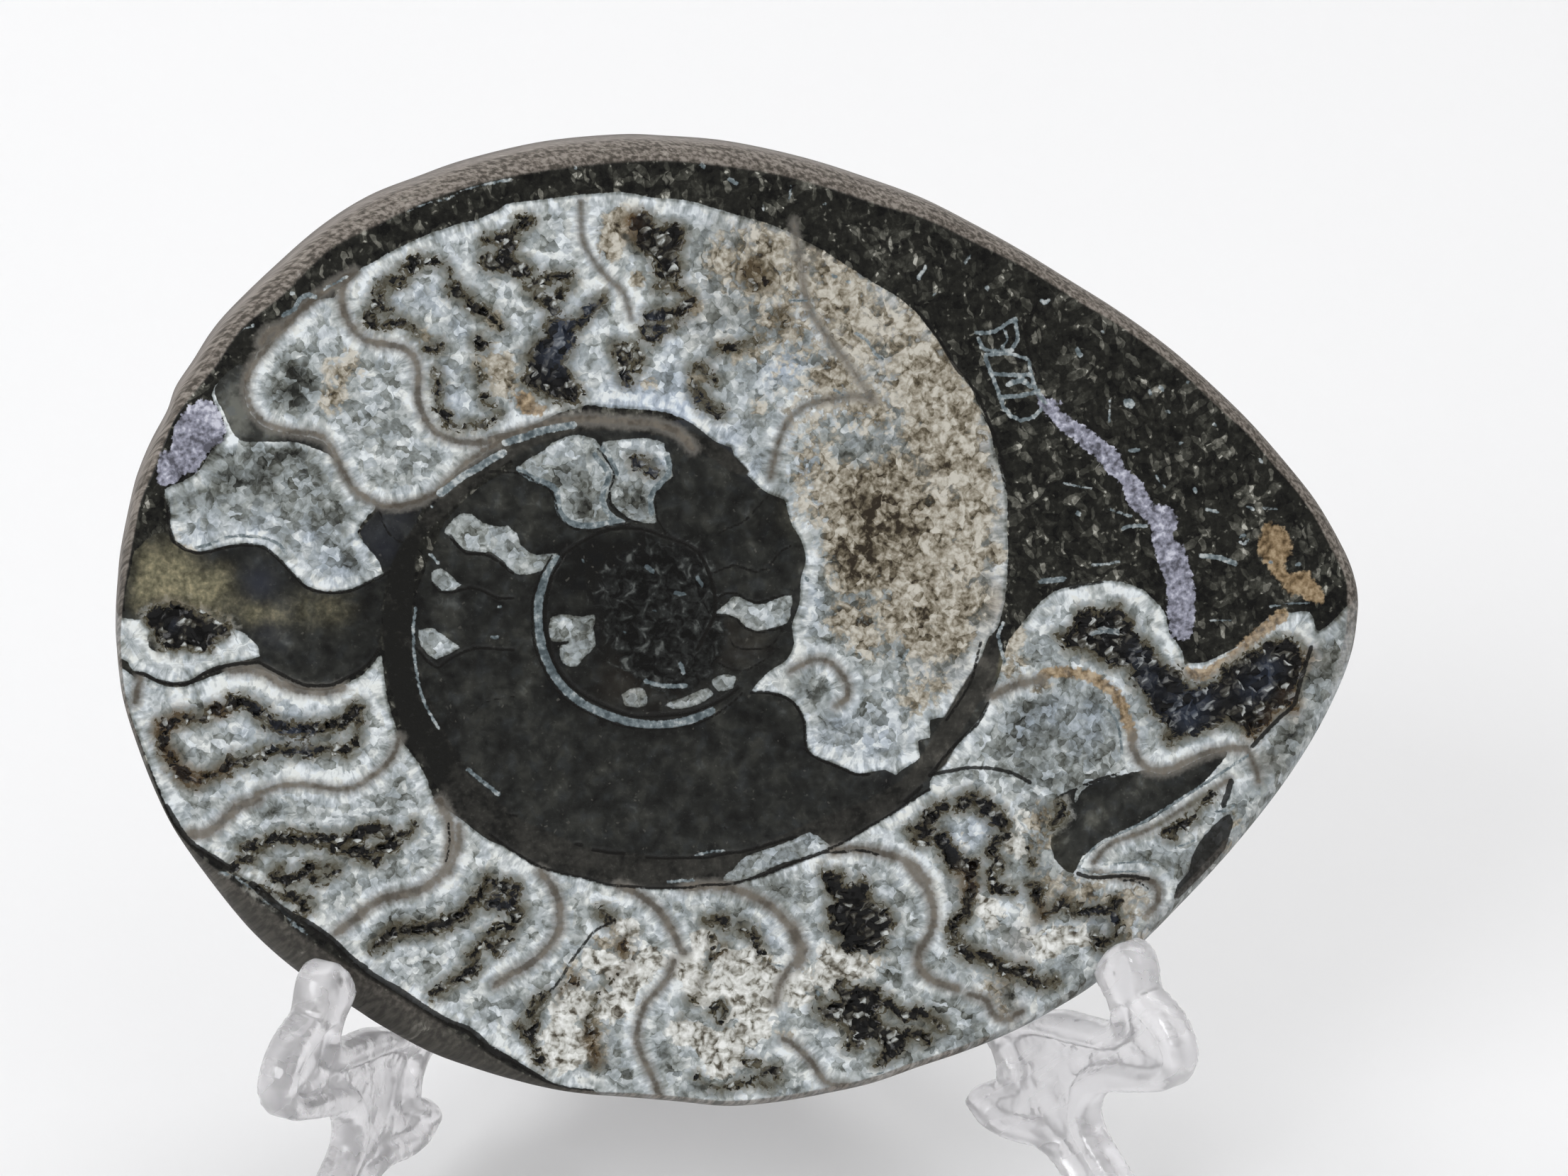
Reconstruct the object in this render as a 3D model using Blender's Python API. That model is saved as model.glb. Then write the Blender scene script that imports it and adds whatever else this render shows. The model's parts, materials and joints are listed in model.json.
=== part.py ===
"""Polished fossil slab leaning on a clear moulded display stand. Metres, +Z up, standing on z = 0."""

import math

import bmesh
import bpy
import numpy as np
from mathutils import Vector

MM = 0.001

# Driving dimensions of the slab, in millimetres
SLAB_THICKNESS = 15.0
RIM_DEPTH = 3.0
LEAN_BACK_DEG = 14.0
FACE_CENTRE_HEIGHT = 55.7
FACE_CENTRE_SIDE = 0.4
SLAB_SPOKES = 96
ROUNDING_STEPS = 3

# Driving dimensions of the stand, in millimetres
FRAME_THICKNESS = 3.0
WEB_THICKNESS = 1.4
FRAME_SPLAY_DEG = 30.0
HOOK_HALF_SPACING = 30.4
HOOK_BEFORE_CENTRE = 7.8
POST_RADIUS = 5.0
POST_HEIGHT = 27.0
POST_SEGMENTS = 40
SLOT_GAP = 0.3
CONTACT_GAP = 0.3
CURVE_STEPS = 3

# Polished face edge, in millimetres right of and above the face centre, clockwise from the left end
FACE_EDGE = (
    (-49.0, -1.4), (-48.6, 3.8), (-47.5, 8.5), (-45.8, 13.5), (-43.4, 17.8), (-39.3, 23.0),
    (-33.8, 28.3), (-28.1, 31.9), (-21.2, 34.8), (-13.7, 36.2), (-6.2, 36.7), (0.8, 36.0),
    (8.9, 34.1), (17.0, 31.3), (24.2, 27.7), (31.4, 23.3), (37.6, 18.8), (42.9, 13.6),
    (47.1, 8.7), (50.1, 4.1), (50.7, 1.1), (49.9, -4.1), (47.7, -9.4), (43.4, -15.9),
    (38.2, -21.9), (32.6, -27.7), (25.2, -32.9), (17.3, -36.4), (9.3, -38.7), (1.3, -39.9),
    (-5.7, -39.5), (-11.7, -38.9), (-17.3, -37.0), (-24.0, -32.6), (-31.1, -27.8),
    (-38.3, -22.2), (-43.4, -18.2), (-46.1, -13.9), (-48.1, -7.8),
)

# Ground rim, at RIM_DEPTH behind the face
RIM_EDGE = (
    (-49.5, -1.8), (-49.3, 3.2), (-48.3, 9.3), (-46.4, 14.3), (-43.2, 20.5), (-38.8, 25.8),
    (-33.0, 31.2), (-27.1, 34.4), (-19.1, 37.2), (-10.0, 38.5), (-0.9, 38.2), (7.2, 36.4),
    (15.4, 33.7), (23.7, 29.4), (32.1, 24.5), (40.5, 17.9), (46.8, 11.3), (51.1, 4.9),
    (52.4, 1.0), (52.3, -1.5), (50.6, -7.1), (47.3, -13.2), (43.7, -18.4), (37.8, -24.8),
    (30.8, -31.3), (23.9, -35.2), (15.8, -38.1), (7.8, -40.3), (0.6, -41.1), (-6.4, -40.3),
    (-12.5, -39.5), (-18.7, -38.2), (-24.8, -35.9), (-31.0, -32.2), (-37.1, -27.3),
    (-41.9, -22.1), (-45.6, -15.9), (-47.9, -9.9),
)

# Side wall behind the rim: (depth behind the face, how far outside the rim edge)
SIDE_PROFILE = ((7.0, 0.2), (10.5, -0.2), (12.8, -1.2), (14.3, -2.8), (SLAB_THICKNESS, -4.8))

# One side frame, in millimetres behind the hook's tip and above the table. Corners end a run.
FRAME_RUNS = (
    # hook head, front bulge and front leg, down to the toe
    ((0.0, 27.0), (-0.5, 28.2), (-1.4, 29.6), (-3.1, 30.9), (-4.8, 30.4), (-5.6, 28.9),
     (-5.9, 27.7)),
    ((-5.9, 27.7), (-8.4, 26.8), (-10.1, 25.3), (-10.9, 23.5), (-10.6, 21.7), (-9.2, 20.0),
     (-5.8, 18.2), (-2.5, 16.6), (-0.7, 15.0), (-0.2, 13.2), (-0.9, 11.7), (-3.6, 9.8),
     (-7.8, 7.2), (-11.2, 3.8), (-12.6, 0.0)),
    # sole
    ((-12.6, 0.0), (-2.6, 0.0)),
    # back of the front leg and underside of the leaf
    ((-2.6, 0.0), (-2.0, 2.4), (0.0, 5.0), (2.9, 7.1), (5.4, 7.4), (8.6, 6.5), (12.0, 6.1),
     (15.0, 7.4)),
    # end of the leaf
    ((15.0, 7.4), (14.3, 8.9), (12.9, 10.2), (11.0, 11.4)),
    # arch under the seat, down to the rear foot
    ((11.0, 11.4), (11.3, 13.2), (13.0, 14.6), (17.4, 15.3), (25.0, 15.0), (33.0, 13.0),
     (40.0, 9.2), (44.4, 4.6), (45.6, 0.0)),
    ((45.6, 0.0), (57.0, 0.0)),
    # edge held by the post
    ((57.0, 0.0), (57.0, 27.0)),
    # back of the upright, up to its scroll
    ((57.0, 27.0), (50.0, 28.6), (43.4, 33.0), (38.6, 39.6), (35.8, 47.0), (34.8, 54.0),
     (34.6, 58.6), (33.2, 61.6), (31.2, 62.4), (29.5, 61.0), (28.2, 58.0)),
    # front of the upright, down to the seat and round the pocket
    ((28.2, 58.0), (25.7, 49.4), (22.4, 38.0), (19.4, 27.6), (18.0, 22.6)),
    ((18.0, 22.6), (17.3, 19.8), (15.4, 18.5), (13.4, 18.1), (10.8, 18.3), (8.0, 19.2),
     (4.6, 20.7), (1.9, 21.4), (-0.6, 22.1), (-2.1, 23.0), (-2.4, 24.2), (-1.7, 25.3),
     (-0.7, 26.1), (0.0, 27.0)),
)

# Sunk panels of one side frame, the same way
PANELS = (
    ((-3.8, 25.0), (-6.0, 24.7), (-8.2, 23.6), (-8.5, 22.2), (-6.4, 20.8), (-2.4, 19.4),
     (1.2, 17.0), (2.2, 13.6), (1.6, 11.0), (-1.2, 8.8), (-6.0, 5.4), (-8.0, 3.0),
     (-6.0, 2.6), (-2.6, 5.0), (1.9, 9.0), (5.6, 9.8), (9.0, 8.9), (11.6, 8.4), (11.4, 9.0),
     (8.9, 10.8), (8.4, 13.2), (9.8, 15.2), (9.0, 16.4), (6.0, 17.8), (1.6, 19.0),
     (-2.0, 20.2), (-4.2, 22.4)),
    ((20.6, 21.2), (22.0, 17.6), (28.0, 17.2), (36.0, 14.2), (43.4, 9.4), (48.4, 3.0),
     (54.2, 2.8), (54.2, 24.6), (48.4, 26.2), (41.2, 30.8), (36.0, 38.0), (33.0, 46.4),
     (31.8, 54.4), (30.2, 57.4), (28.4, 49.6), (24.8, 37.0)),
)

STONE_COLOUR = (0.06, 0.058, 0.055, 1.0)
PLASTIC_COLOUR = (0.93, 0.94, 0.97, 1.0)
PLASTIC_IOR = 1.49


def clear_scene():
    for obj in list(bpy.data.objects):
        bpy.data.objects.remove(obj, do_unlink=True)


def stone_material():
    material = bpy.data.materials.new("polished_limestone")
    material.use_nodes = True
    shader = material.node_tree.nodes["Principled BSDF"]
    shader.inputs["Base Color"].default_value = STONE_COLOUR
    shader.inputs["Roughness"].default_value = 0.25
    shader.inputs["Metallic"].default_value = 0.0
    return material


def plastic_material():
    material = bpy.data.materials.new("clear_plastic")
    material.use_nodes = True
    shader = material.node_tree.nodes["Principled BSDF"]
    shader.inputs["Base Color"].default_value = PLASTIC_COLOUR
    shader.inputs["Roughness"].default_value = 0.04
    shader.inputs["Metallic"].default_value = 0.0
    shader.inputs["IOR"].default_value = PLASTIC_IOR
    shader.inputs["Transmission Weight"].default_value = 1.0
    return material


def curve_through(points, closed):
    """Points along a smooth curve through the given ones, CURVE_STEPS to each stretch."""
    given = [Vector(p) for p in points]
    if closed:
        ends = [given[-1], *given, given[0], given[1]]
    else:
        ends = [2 * given[0] - given[1], *given, 2 * given[-1] - given[-2]]
    found = []
    for before, start, end, after in zip(ends, ends[1:], ends[2:], ends[3:]):
        for step in range(CURVE_STEPS):
            t = step / CURVE_STEPS
            lean_in = (end - before) * 0.5
            lean_out = (after - start) * 0.5
            found.append(
                start * (2 * t**3 - 3 * t**2 + 1)
                + lean_in * (t**3 - 2 * t**2 + t)
                + end * (3 * t**2 - 2 * t**3)
                + lean_out * (t**3 - t**2)
            )
    if not closed:
        found.append(given[-1])
    return found


def radii(outline, angles):
    """The outline's distance from the face centre in each direction."""
    curve = np.array([tuple(p) for p in curve_through(outline, True)])
    turn = np.arctan2(curve[:, 1], curve[:, 0])
    reach = np.hypot(curve[:, 0], curve[:, 1])
    return np.interp(angles, *sorted_by_turn(turn, reach), period=2 * math.pi)


def sorted_by_turn(turn, reach):
    order = np.argsort(turn)
    return turn[order], reach[order]


def slab_rings():
    """(depth, radius in each direction) from the polished face to the back."""
    angles = np.linspace(-math.pi, math.pi, SLAB_SPOKES, endpoint=False)
    face = radii(FACE_EDGE, angles)
    rim = radii(RIM_EDGE, angles)
    rings = [(0.0, face)]
    for step in range(1, ROUNDING_STEPS + 1):
        turn = 0.5 * math.pi * step / ROUNDING_STEPS
        rings.append((RIM_DEPTH * (1 - math.cos(turn)), face + (rim - face) * math.sin(turn)))
    rings += [(depth, rim + outside) for depth, outside in SIDE_PROFILE]
    return angles, rings


def build_slab(material):
    """The slab's own axes: X right, Y behind the face, Z up the face."""
    angles, rings = slab_rings()
    shape = bmesh.new()
    loops = []
    for depth, reach in rings:
        loops.append([
            shape.verts.new((r * math.cos(a) * MM, depth * MM, r * math.sin(a) * MM))
            for a, r in zip(angles, reach)
        ])
    for near, far in zip(loops, loops[1:]):
        for i in range(SLAB_SPOKES):
            j = (i + 1) % SLAB_SPOKES
            shape.faces.new((near[i], near[j], far[j], far[i]))
    shape.faces.new(list(reversed(loops[0])))
    shape.faces.new(loops[-1])
    obj = new_object("fossil_slab", shape, material)
    place_on_slab(obj)
    return obj


def place_on_slab(obj):
    obj.rotation_euler.x = -math.radians(LEAN_BACK_DEG)
    obj.location = (FACE_CENTRE_SIDE * MM, 0.0, FACE_CENTRE_HEIGHT * MM)


def new_object(name, shape, material):
    bmesh.ops.recalc_face_normals(shape, faces=shape.faces)
    mesh = bpy.data.meshes.new(name)
    shape.to_mesh(mesh)
    shape.free()
    mesh.materials.append(material)
    mesh.shade_smooth()
    mesh.set_sharp_from_angle(angle=math.radians(35))
    obj = bpy.data.objects.new(name, mesh)
    bpy.context.scene.collection.objects.link(obj)
    return obj


def plate(outline, low, high):
    """A plate with this outline, from low to high across its thickness, along local X."""
    shape = bmesh.new()
    near = [shape.verts.new((low * MM, p[0] * MM, p[1] * MM)) for p in outline]
    far = [shape.verts.new((high * MM, p[0] * MM, p[1] * MM)) for p in outline]
    count = len(outline)
    for i in range(count):
        j = (i + 1) % count
        shape.faces.new((near[i], near[j], far[j], far[i]))
    shape.faces.new(list(reversed(near)))
    shape.faces.new(far)
    return shape


def frame_outline():
    outline = []
    for run in FRAME_RUNS:
        outline += curve_through(run, False)[:-1] if len(run) > 2 else [Vector(run[0])]
    return outline


def cutter(name, shape, material):
    obj = new_object(name, shape, material)
    obj.hide_render = True
    obj.display_type = "WIRE"
    return obj


def cut(obj, tool):
    modifier = obj.modifiers.new(tool.name, "BOOLEAN")
    modifier.operation = "DIFFERENCE"
    modifier.object = tool
    modifier.solver = "EXACT"


def place_frame(obj, side):
    """Side is -1 for the left frame and 1 for the right one. Local Y runs back along the frame."""
    splay = math.radians(FRAME_SPLAY_DEG)
    half = 0.5 * FRAME_THICKNESS
    obj.rotation_euler.z = side * splay
    obj.location = (
        side * (HOOK_HALF_SPACING + half * math.cos(splay)) * MM,
        (half * math.sin(splay) - HOOK_BEFORE_CENTRE) * MM,
        0.0,
    )


def build_frame(name, side, material):
    half = 0.5 * FRAME_THICKNESS
    web = 0.5 * WEB_THICKNESS
    obj = new_object(name, plate(frame_outline(), -half, half), material)
    place_frame(obj, side)
    for number, panel in enumerate(PANELS):
        sunk = curve_through(panel, True)
        for face, low, high in (("inner", web, half + 1), ("outer", -half - 1, -web)):
            tool = cutter(f"{name}_panel_{number}_{face}", plate(sunk, low, high), material)
            place_frame(tool, side)
            cut(obj, tool)
    behind_face = [(-CONTACT_GAP, -31.0), (8.0, -31.0), (8.0, -22.0), (-CONTACT_GAP, -22.0)]
    relief = cutter(f"{name}_hook_relief", plate(behind_face, *sorted((side * 24, side * 40))), material)
    place_on_slab(relief)
    cut(obj, relief)
    return obj


def build_post(material):
    """The post at the back, slotted for the rear edges of both frames."""
    splay = math.radians(FRAME_SPLAY_DEG)
    shape = bmesh.new()
    bmesh.ops.create_cone(
        shape,
        cap_ends=True,
        segments=POST_SEGMENTS,
        radius1=POST_RADIUS * MM,
        radius2=POST_RADIUS * MM,
        depth=POST_HEIGHT * MM,
    )
    obj = new_object("stand_rear_post", shape, material)
    behind = HOOK_HALF_SPACING / math.tan(splay) - HOOK_BEFORE_CENTRE
    obj.location = (0.0, behind * MM, 0.5 * POST_HEIGHT * MM)
    rear_edge = max(p[0] for run in FRAME_RUNS for p in run)
    reach = 0.5 * FRAME_THICKNESS + SLOT_GAP
    slot = [(30.0, -5.0), (rear_edge + SLOT_GAP, -5.0), (rear_edge + SLOT_GAP, 40.0), (30.0, 40.0)]
    for side, face in ((-1, "left"), (1, "right")):
        tool = cutter(f"post_slot_{face}", plate(slot, -reach, reach), material)
        place_frame(tool, side)
        cut(obj, tool)
    return obj


def centre_on_origin(solids):
    """Moves everything so that the box round the solids stands centred on the origin."""
    bpy.context.view_layer.update()
    corners = [obj.matrix_world @ v.co for obj in solids for v in obj.data.vertices]
    middle_x = 0.5 * (min(c.x for c in corners) + max(c.x for c in corners))
    middle_y = 0.5 * (min(c.y for c in corners) + max(c.y for c in corners))
    for obj in bpy.data.objects:
        obj.location.x -= middle_x
        obj.location.y -= middle_y


def main():
    clear_scene()
    stone = stone_material()
    plastic = plastic_material()
    solids = [
        build_slab(stone),
        build_frame("stand_left_frame", -1, plastic),
        build_frame("stand_right_frame", 1, plastic),
        build_post(plastic),
    ]
    centre_on_origin(solids)


main()
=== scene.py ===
"""Looks of the polished fossil slab and of the clear stand it leans in."""

import json
import math

import bmesh
import bpy
import numpy as np
from mathutils import Matrix, Vector, geometry, noise

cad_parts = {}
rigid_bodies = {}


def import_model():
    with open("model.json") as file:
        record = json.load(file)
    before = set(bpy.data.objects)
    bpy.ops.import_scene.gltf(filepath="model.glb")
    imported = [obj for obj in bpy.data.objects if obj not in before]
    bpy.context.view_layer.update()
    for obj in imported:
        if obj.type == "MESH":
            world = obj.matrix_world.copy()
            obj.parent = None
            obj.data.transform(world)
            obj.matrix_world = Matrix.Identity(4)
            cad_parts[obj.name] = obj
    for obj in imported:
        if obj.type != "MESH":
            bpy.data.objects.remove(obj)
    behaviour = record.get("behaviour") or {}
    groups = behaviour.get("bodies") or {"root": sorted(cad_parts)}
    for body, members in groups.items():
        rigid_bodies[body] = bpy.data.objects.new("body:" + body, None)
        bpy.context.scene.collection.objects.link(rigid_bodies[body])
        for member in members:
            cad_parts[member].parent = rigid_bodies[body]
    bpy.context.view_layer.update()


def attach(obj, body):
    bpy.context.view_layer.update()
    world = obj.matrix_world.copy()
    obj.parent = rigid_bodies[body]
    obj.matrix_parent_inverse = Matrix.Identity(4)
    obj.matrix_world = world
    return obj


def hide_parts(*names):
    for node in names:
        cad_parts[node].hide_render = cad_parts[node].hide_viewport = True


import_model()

MM = 0.001

# Where the slab is, in millimetres: its polished face's centre, leaning back
LEAN = math.radians(14.0)
THICKNESS = 15.0
RIM_DEPTH = 3.0
FACE_CENTRE = Vector((-1.465, -15.571, 55.7))
ACROSS = Vector((1.0, 0.0, 0.0))
UP_FACE = Vector((0.0, math.sin(LEAN), math.cos(LEAN)))
INTO = Vector((0.0, math.cos(LEAN), -math.sin(LEAN)))

# The camera, from the photograph of 2212 x 1659 pixels; distances in millimetres
IMAGE_WIDTH, IMAGE_HEIGHT = 2212.0, 1659.0
FOCAL_PIXELS = 5238.0
CAMERA_YAW, CAMERA_PITCH, CAMERA_ROLL = (math.radians(a) for a in (8.0, 22.0, 2.4))
FACE_CENTRE_PIXEL = (1039.0, 875.0)
FACE_DISTANCE = 300.0
SENSOR_WIDTH, CLIP_START = 36.0, 0.01

# The stand, in millimetres: each frame starts at its own origin and is turned outward
FRAME_SPLAY = math.radians(30.0)
FRAME_THICKNESS = 3.0
WEB_THICKNESS = 1.4
FRAME_ORIGINS = {-1: Vector((-33.2, -22.621, 0.0)), 1: Vector((29.35, -22.621, 0.0))}
CONTACT_GAP = 0.3
HOOK_BAND = (-31.0, -22.0)
POST_CENTRE, POST_RADIUS, POST_HEIGHT, POST_EDGE = (-1.865, 29.283), 5.0, 27.0, 0.6
SLOT_HALF_WIDTH, SLOT_END = 1.8, 57.3

# Outline of one side frame, in millimetres behind the hook's tip and above the table
FRAME_RUNS = (
    "0,27 -0.5,28.2 -1.4,29.6 -3.1,30.9 -4.8,30.4 -5.6,28.9 -5.9,27.7",
    "-5.9,27.7 -8.4,26.8 -10.1,25.3 -10.9,23.5 -10.6,21.7 -9.2,20 -5.8,18.2 -2.5,16.6 -0.7,15 "
    "-0.2,13.2 -0.9,11.7 -3.6,9.8 -7.8,7.2 -11.2,3.8 -12.6,0",
    "-12.6,0 -2.6,0",
    "-2.6,0 -2,2.4 0,5 2.9,7.1 5.4,7.4 8.6,6.5 12,6.1 15,7.4",
    "15,7.4 14.3,8.9 12.9,10.2 11,11.4",
    "11,11.4 11.3,13.2 13,14.6 17.4,15.3 25,15 33,13 40,9.2 44.4,4.6 45.6,0",
    "45.6,0 57,0",
    "57,0 57,27",
    "57,27 50,28.6 43.4,33 38.6,39.6 35.8,47 34.8,54 34.6,58.6 33.2,61.6 31.2,62.4 29.5,61 28.2,58",
    "28.2,58 25.7,49.4 22.4,38 19.4,27.6 18,22.6",
    "18,22.6 17.3,19.8 15.4,18.5 13.4,18.1 10.8,18.3 8,19.2 4.6,20.7 1.9,21.4 -0.6,22.1 -2.1,23 "
    "-2.4,24.2 -1.7,25.3 -0.7,26.1 0,27",
)
PANELS = (
    "-3.8,25 -6,24.7 -8.2,23.6 -8.5,22.2 -6.4,20.8 -2.4,19.4 1.2,17 2.2,13.6 1.6,11 -1.2,8.8 "
    "-6,5.4 -8,3 -6,2.6 -2.6,5 1.9,9 5.6,9.8 9,8.9 11.6,8.4 11.4,9 8.9,10.8 8.4,13.2 9.8,15.2 "
    "9,16.4 6,17.8 1.6,19 -2,20.2 -4.2,22.4",
    "20.6,21.2 22,17.6 28,17.2 36,14.2 43.4,9.4 48.4,3 54.2,2.8 54.2,24.6 48.4,26.2 41.2,30.8 "
    "36,38 33,46.4 31.8,54.4 30.2,57.4 28.4,49.6 24.8,37",
)

# Edge of the polished face, in millimetres right of and above its centre
FACE_EDGE = (
    "-49,-1.4 -48.9,0.6 -48.6,3.1 -48.1,5.8 -47.7,7.8 -47.2,10.1 -46.1,12.6 -45.3,14.7 -44.4,16.7 "
    "-42.8,18.7 -41.1,20.8 -39.1,23.6 -35.9,26.2 -33.9,28.2 -32,29.9 -29,31.4 -25.1,33.3 -21.2,34.7 "
    "-17.2,35.6 -13.2,36.2 -9.2,36.6 -5.2,36.7 -1.2,36.3 2.8,35.7 6.9,34.7 10.9,33.4 15,32.2 19.1,30.3 "
    "23.2,28.3 27.3,25.8 31.4,23.4 35.5,20.5 39.7,16.7 41.8,14.9 43.9,12.5 46,10.2 47.7,7.9 49,5.6 "
    "50.4,2.9 50.6,0.9 50.5,-1.6 50,-3.6 49.4,-5.6 47.2,-10.2 44.2,-14.6 40.3,-19.5 36.4,-23.6 "
    "33.2,-26.9 29.7,-30.1 26.9,-32 23.1,-34.1 19.2,-35.7 15.2,-37 11.2,-38.3 7.3,-39.1 3.3,-39.7 "
    "-0.7,-39.9 -4.7,-39.4 -8.7,-39 -11.7,-38.8 -14.8,-38.2 -18.3,-36.5 -21.9,-34 -26,-31.1 "
    "-30.1,-28.4 -34.2,-25.6 -37.2,-23.2 -40.3,-20.7 -43.4,-18.2 -45.5,-15.3 -47.5,-9.6 -48.7,-5.4"
)

# Outer edge of the ground rim, RIM_DEPTH behind the face
RIM_EDGE = (
    "-49.5,-1.9 -49.5,0.6 -49.3,3.2 -49,5.7 -48,10.2 -47.3,12.3 -46.4,14.3 -45.2,16.5 -44.5,18.4 "
    "-43.1,20.5 -41.7,22.7 -40.1,24.6 -36.9,27.7 -33,31.1 -29.1,33.6 -25.1,35.2 -21.1,36.6 -15.1,38 "
    "-9,38.6 -5,38.5 -0.9,38.2 3.1,37.5 7.2,36.5 11.3,35.2 15.5,33.7 19.6,31.7 23.7,29.5 27.9,27 "
    "32,24.5 36.2,21.5 40.4,17.9 43.4,15 46.8,11.2 48.9,8.5 51.1,4.8 52,2.5 52.3,1 52.3,-0.5 51.9,-3.6 "
    "50.6,-7.2 48.5,-11.3 45.7,-15.6 41.7,-20.6 37.8,-24.8 34.5,-28.1 30.9,-31.2 27.9,-33.1 23.9,-35.2 "
    "19.9,-36.8 15.8,-38.1 11.8,-39.4 7.8,-40.2 3.7,-40.8 -0.3,-41 -4.4,-40.5 -8.5,-40 -12.5,-39.5 "
    "-16.6,-38.7 -20.7,-37.5 -24.8,-35.9 -28.9,-33.5 -30.9,-32.1 -35.1,-29.2 -38.8,-25.8 -41.8,-22 "
    "-44.5,-17.9 -46.5,-13.9 -48,-9.9 -49.1,-5.9"
)
SIDE_PROFILE = ((5.0, 0.15), (7.0, 0.2), (9.0, 0.0), (10.5, -0.2), (12.0, -0.8), (13.2, -1.6),
                (14.2, -2.8), (14.8, -3.9), (THICKNESS, -4.8))
SPOKES = 840
RIM_STEPS = 8

# How finely things are meshed and measured, in millimetres
REACH = 1.8
SHORES, SHORE_OFFSET = ("calcite", "inner", "wall"), 17.0
SPOT_FALL = 1.2
CURVE_STEP, EDGE_STEP, FRAME_STEP = 0.5, 0.3, 0.4
FINE_SPACING, BACK_SPACING, FRAME_SPACING = 0.22, 0.8, 0.36
NEAR_DETAIL, NEAR_FRAME_EDGE, NEAR_PANEL_EDGE = 0.5, 1.6, 1.2
SLAB_CLEARANCE, FRAME_CLEARANCE = 0.7, 0.6  # of the spacing
ROW_HEIGHT = math.sqrt(0.75)
SAME_PLACE = 1e-6
RUNS_AT_ONCE = 8

# The slab's texture map: how many millimetres fill it, a corner on the map, and that corner's place
FRONT_MAP = 145.0, (0.005, 0.005), (-50.5, -41.0)
BACK_MAP = 185.0, (0.005, 0.56), (-52.0, -42.0)
SIDE_MAP_LEFT, SIDE_MAP_COLUMN, SIDE_MAP_LOW, SIDE_MAP_HEIGHT = 0.73, 0.134, 0.01, 0.97

# Noise over the face: features per millimetre, and the level that sets it apart from the others
SWIRL_FALL, SWIRL_STEP = 0.6, 2.0
DRIFT, PATCH, MOTTLE = (0.45, 5.0), (0.9, 11.0), (0.7, 23.0)
ROUGH_SCALE, ROUGH_LEVEL, CRAG_SCALE, CRAG_LEVEL, CRAG_WARP = 1.7, 3.0, 1.9, 7.0, 0.6
DRUSE_DRIFT, DRUSE_PATCH = 0.12, 0.1

# How the druses of dark crystals, the crust and the cracks are sunk below the polish; the druses' near-black
# is partly painted shade inside these hollows
DRUSE_SHORE, DRUSE_ROUGH, DRUSE_SUNK, DRUSE_CRAGS = 0.5, 0.5, 0.25, 0.45
CRUST_FROM, CRUST_ROUGH, CRUST_SUNK, CRUST_CRAGS = 0.35, 0.2, 0.12, 0.35
CRACK_EDGE, CRACK_SHORE, CRACK_SUNK = 0.02, 0.15, 0.12
ON_FACE = 0.01

# The stand's mouldings, in millimetres, and how unevenly thick its panels are
FRONT_STRETCH = {-1: 1.09, 1: 1.0}
EDGE_HALF, BEAD_RADIUS, PANEL_SPREAD, PANEL_SLOPE, WEB_MOTTLE = 0.85, 0.75, 0.85, 0.8, 0.35
FRONT_PART = 5.0
POST_SIDES, POST_CORNER_STEPS, POST_STEPS, POST_CAP, POST_SHARP = 72, 5, 6, 0.35, math.radians(35.0)
SLOT_START, SLOT_LOW, SLOT_HIGH = 30.0, -5.0, 40.0

# The clear plastic, and how it is hazy and wavy
PLASTIC = {
    "Base Color": (0.995, 0.984, 1.0, 1.0), "Transmission Weight": 0.86, "IOR": 1.49,
    "Coat Weight": 0.6, "Coat Roughness": 0.04,
}
PLASTIC_ROUGHNESS, HAZE_ROUGHNESS = 0.25, 0.1
HAZE, WAVES = (0.35, 2.0, 0.6), (0.6, 1.0, 0.5, 0.4)

# The floor and the wall behind it, in metres, and the light
FLOOR_SIDE, FLOOR_FRONT, FLOOR_BACK, FLOOR_CORNER, FLOOR_STEPS = 3.0, -1.5, 0.55, 0.35, 16
WALL_HEIGHT = 1.6
FLOOR_COLOUR, FLOOR_ROUGHNESS = (0.868, 0.868, 0.872, 1.0), 0.9
SKY_COLOUR, SKY_RISE = (0.99, 0.98, 0.972, 1.0), (0.15, 0.6, 0.42, 0.45)
LAMPS = (  # name, place, target, size, power and colour
    ("key", (-0.7, -0.75, 0.6), (0.0, 0.0, 0.03), (0.5, 0.5), 5.6, (0.975, 0.985, 1.0)),
    ("fill", (0.4, -0.7, 0.85), (0.0, 0.0, 0.05), (0.8, 0.8), 1.1, (1.0, 1.0, 1.0)),
    ("back", (0.0, 0.25, 1.3), (0.0, 0.35, 0.2), (1.6, 0.5), 6.8, (0.985, 0.99, 1.0)),
)


def on_face(x, t, depth=0.0):
    """A point of the slab, in metres, from millimetres right of, above and behind the face's centre."""
    return (FACE_CENTRE + ACROSS * x + UP_FACE * t + INTO * depth) * MM


def read_path(text):
    return np.array([[float(n) for n in pair.split(",")] for pair in text.split()])


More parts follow.
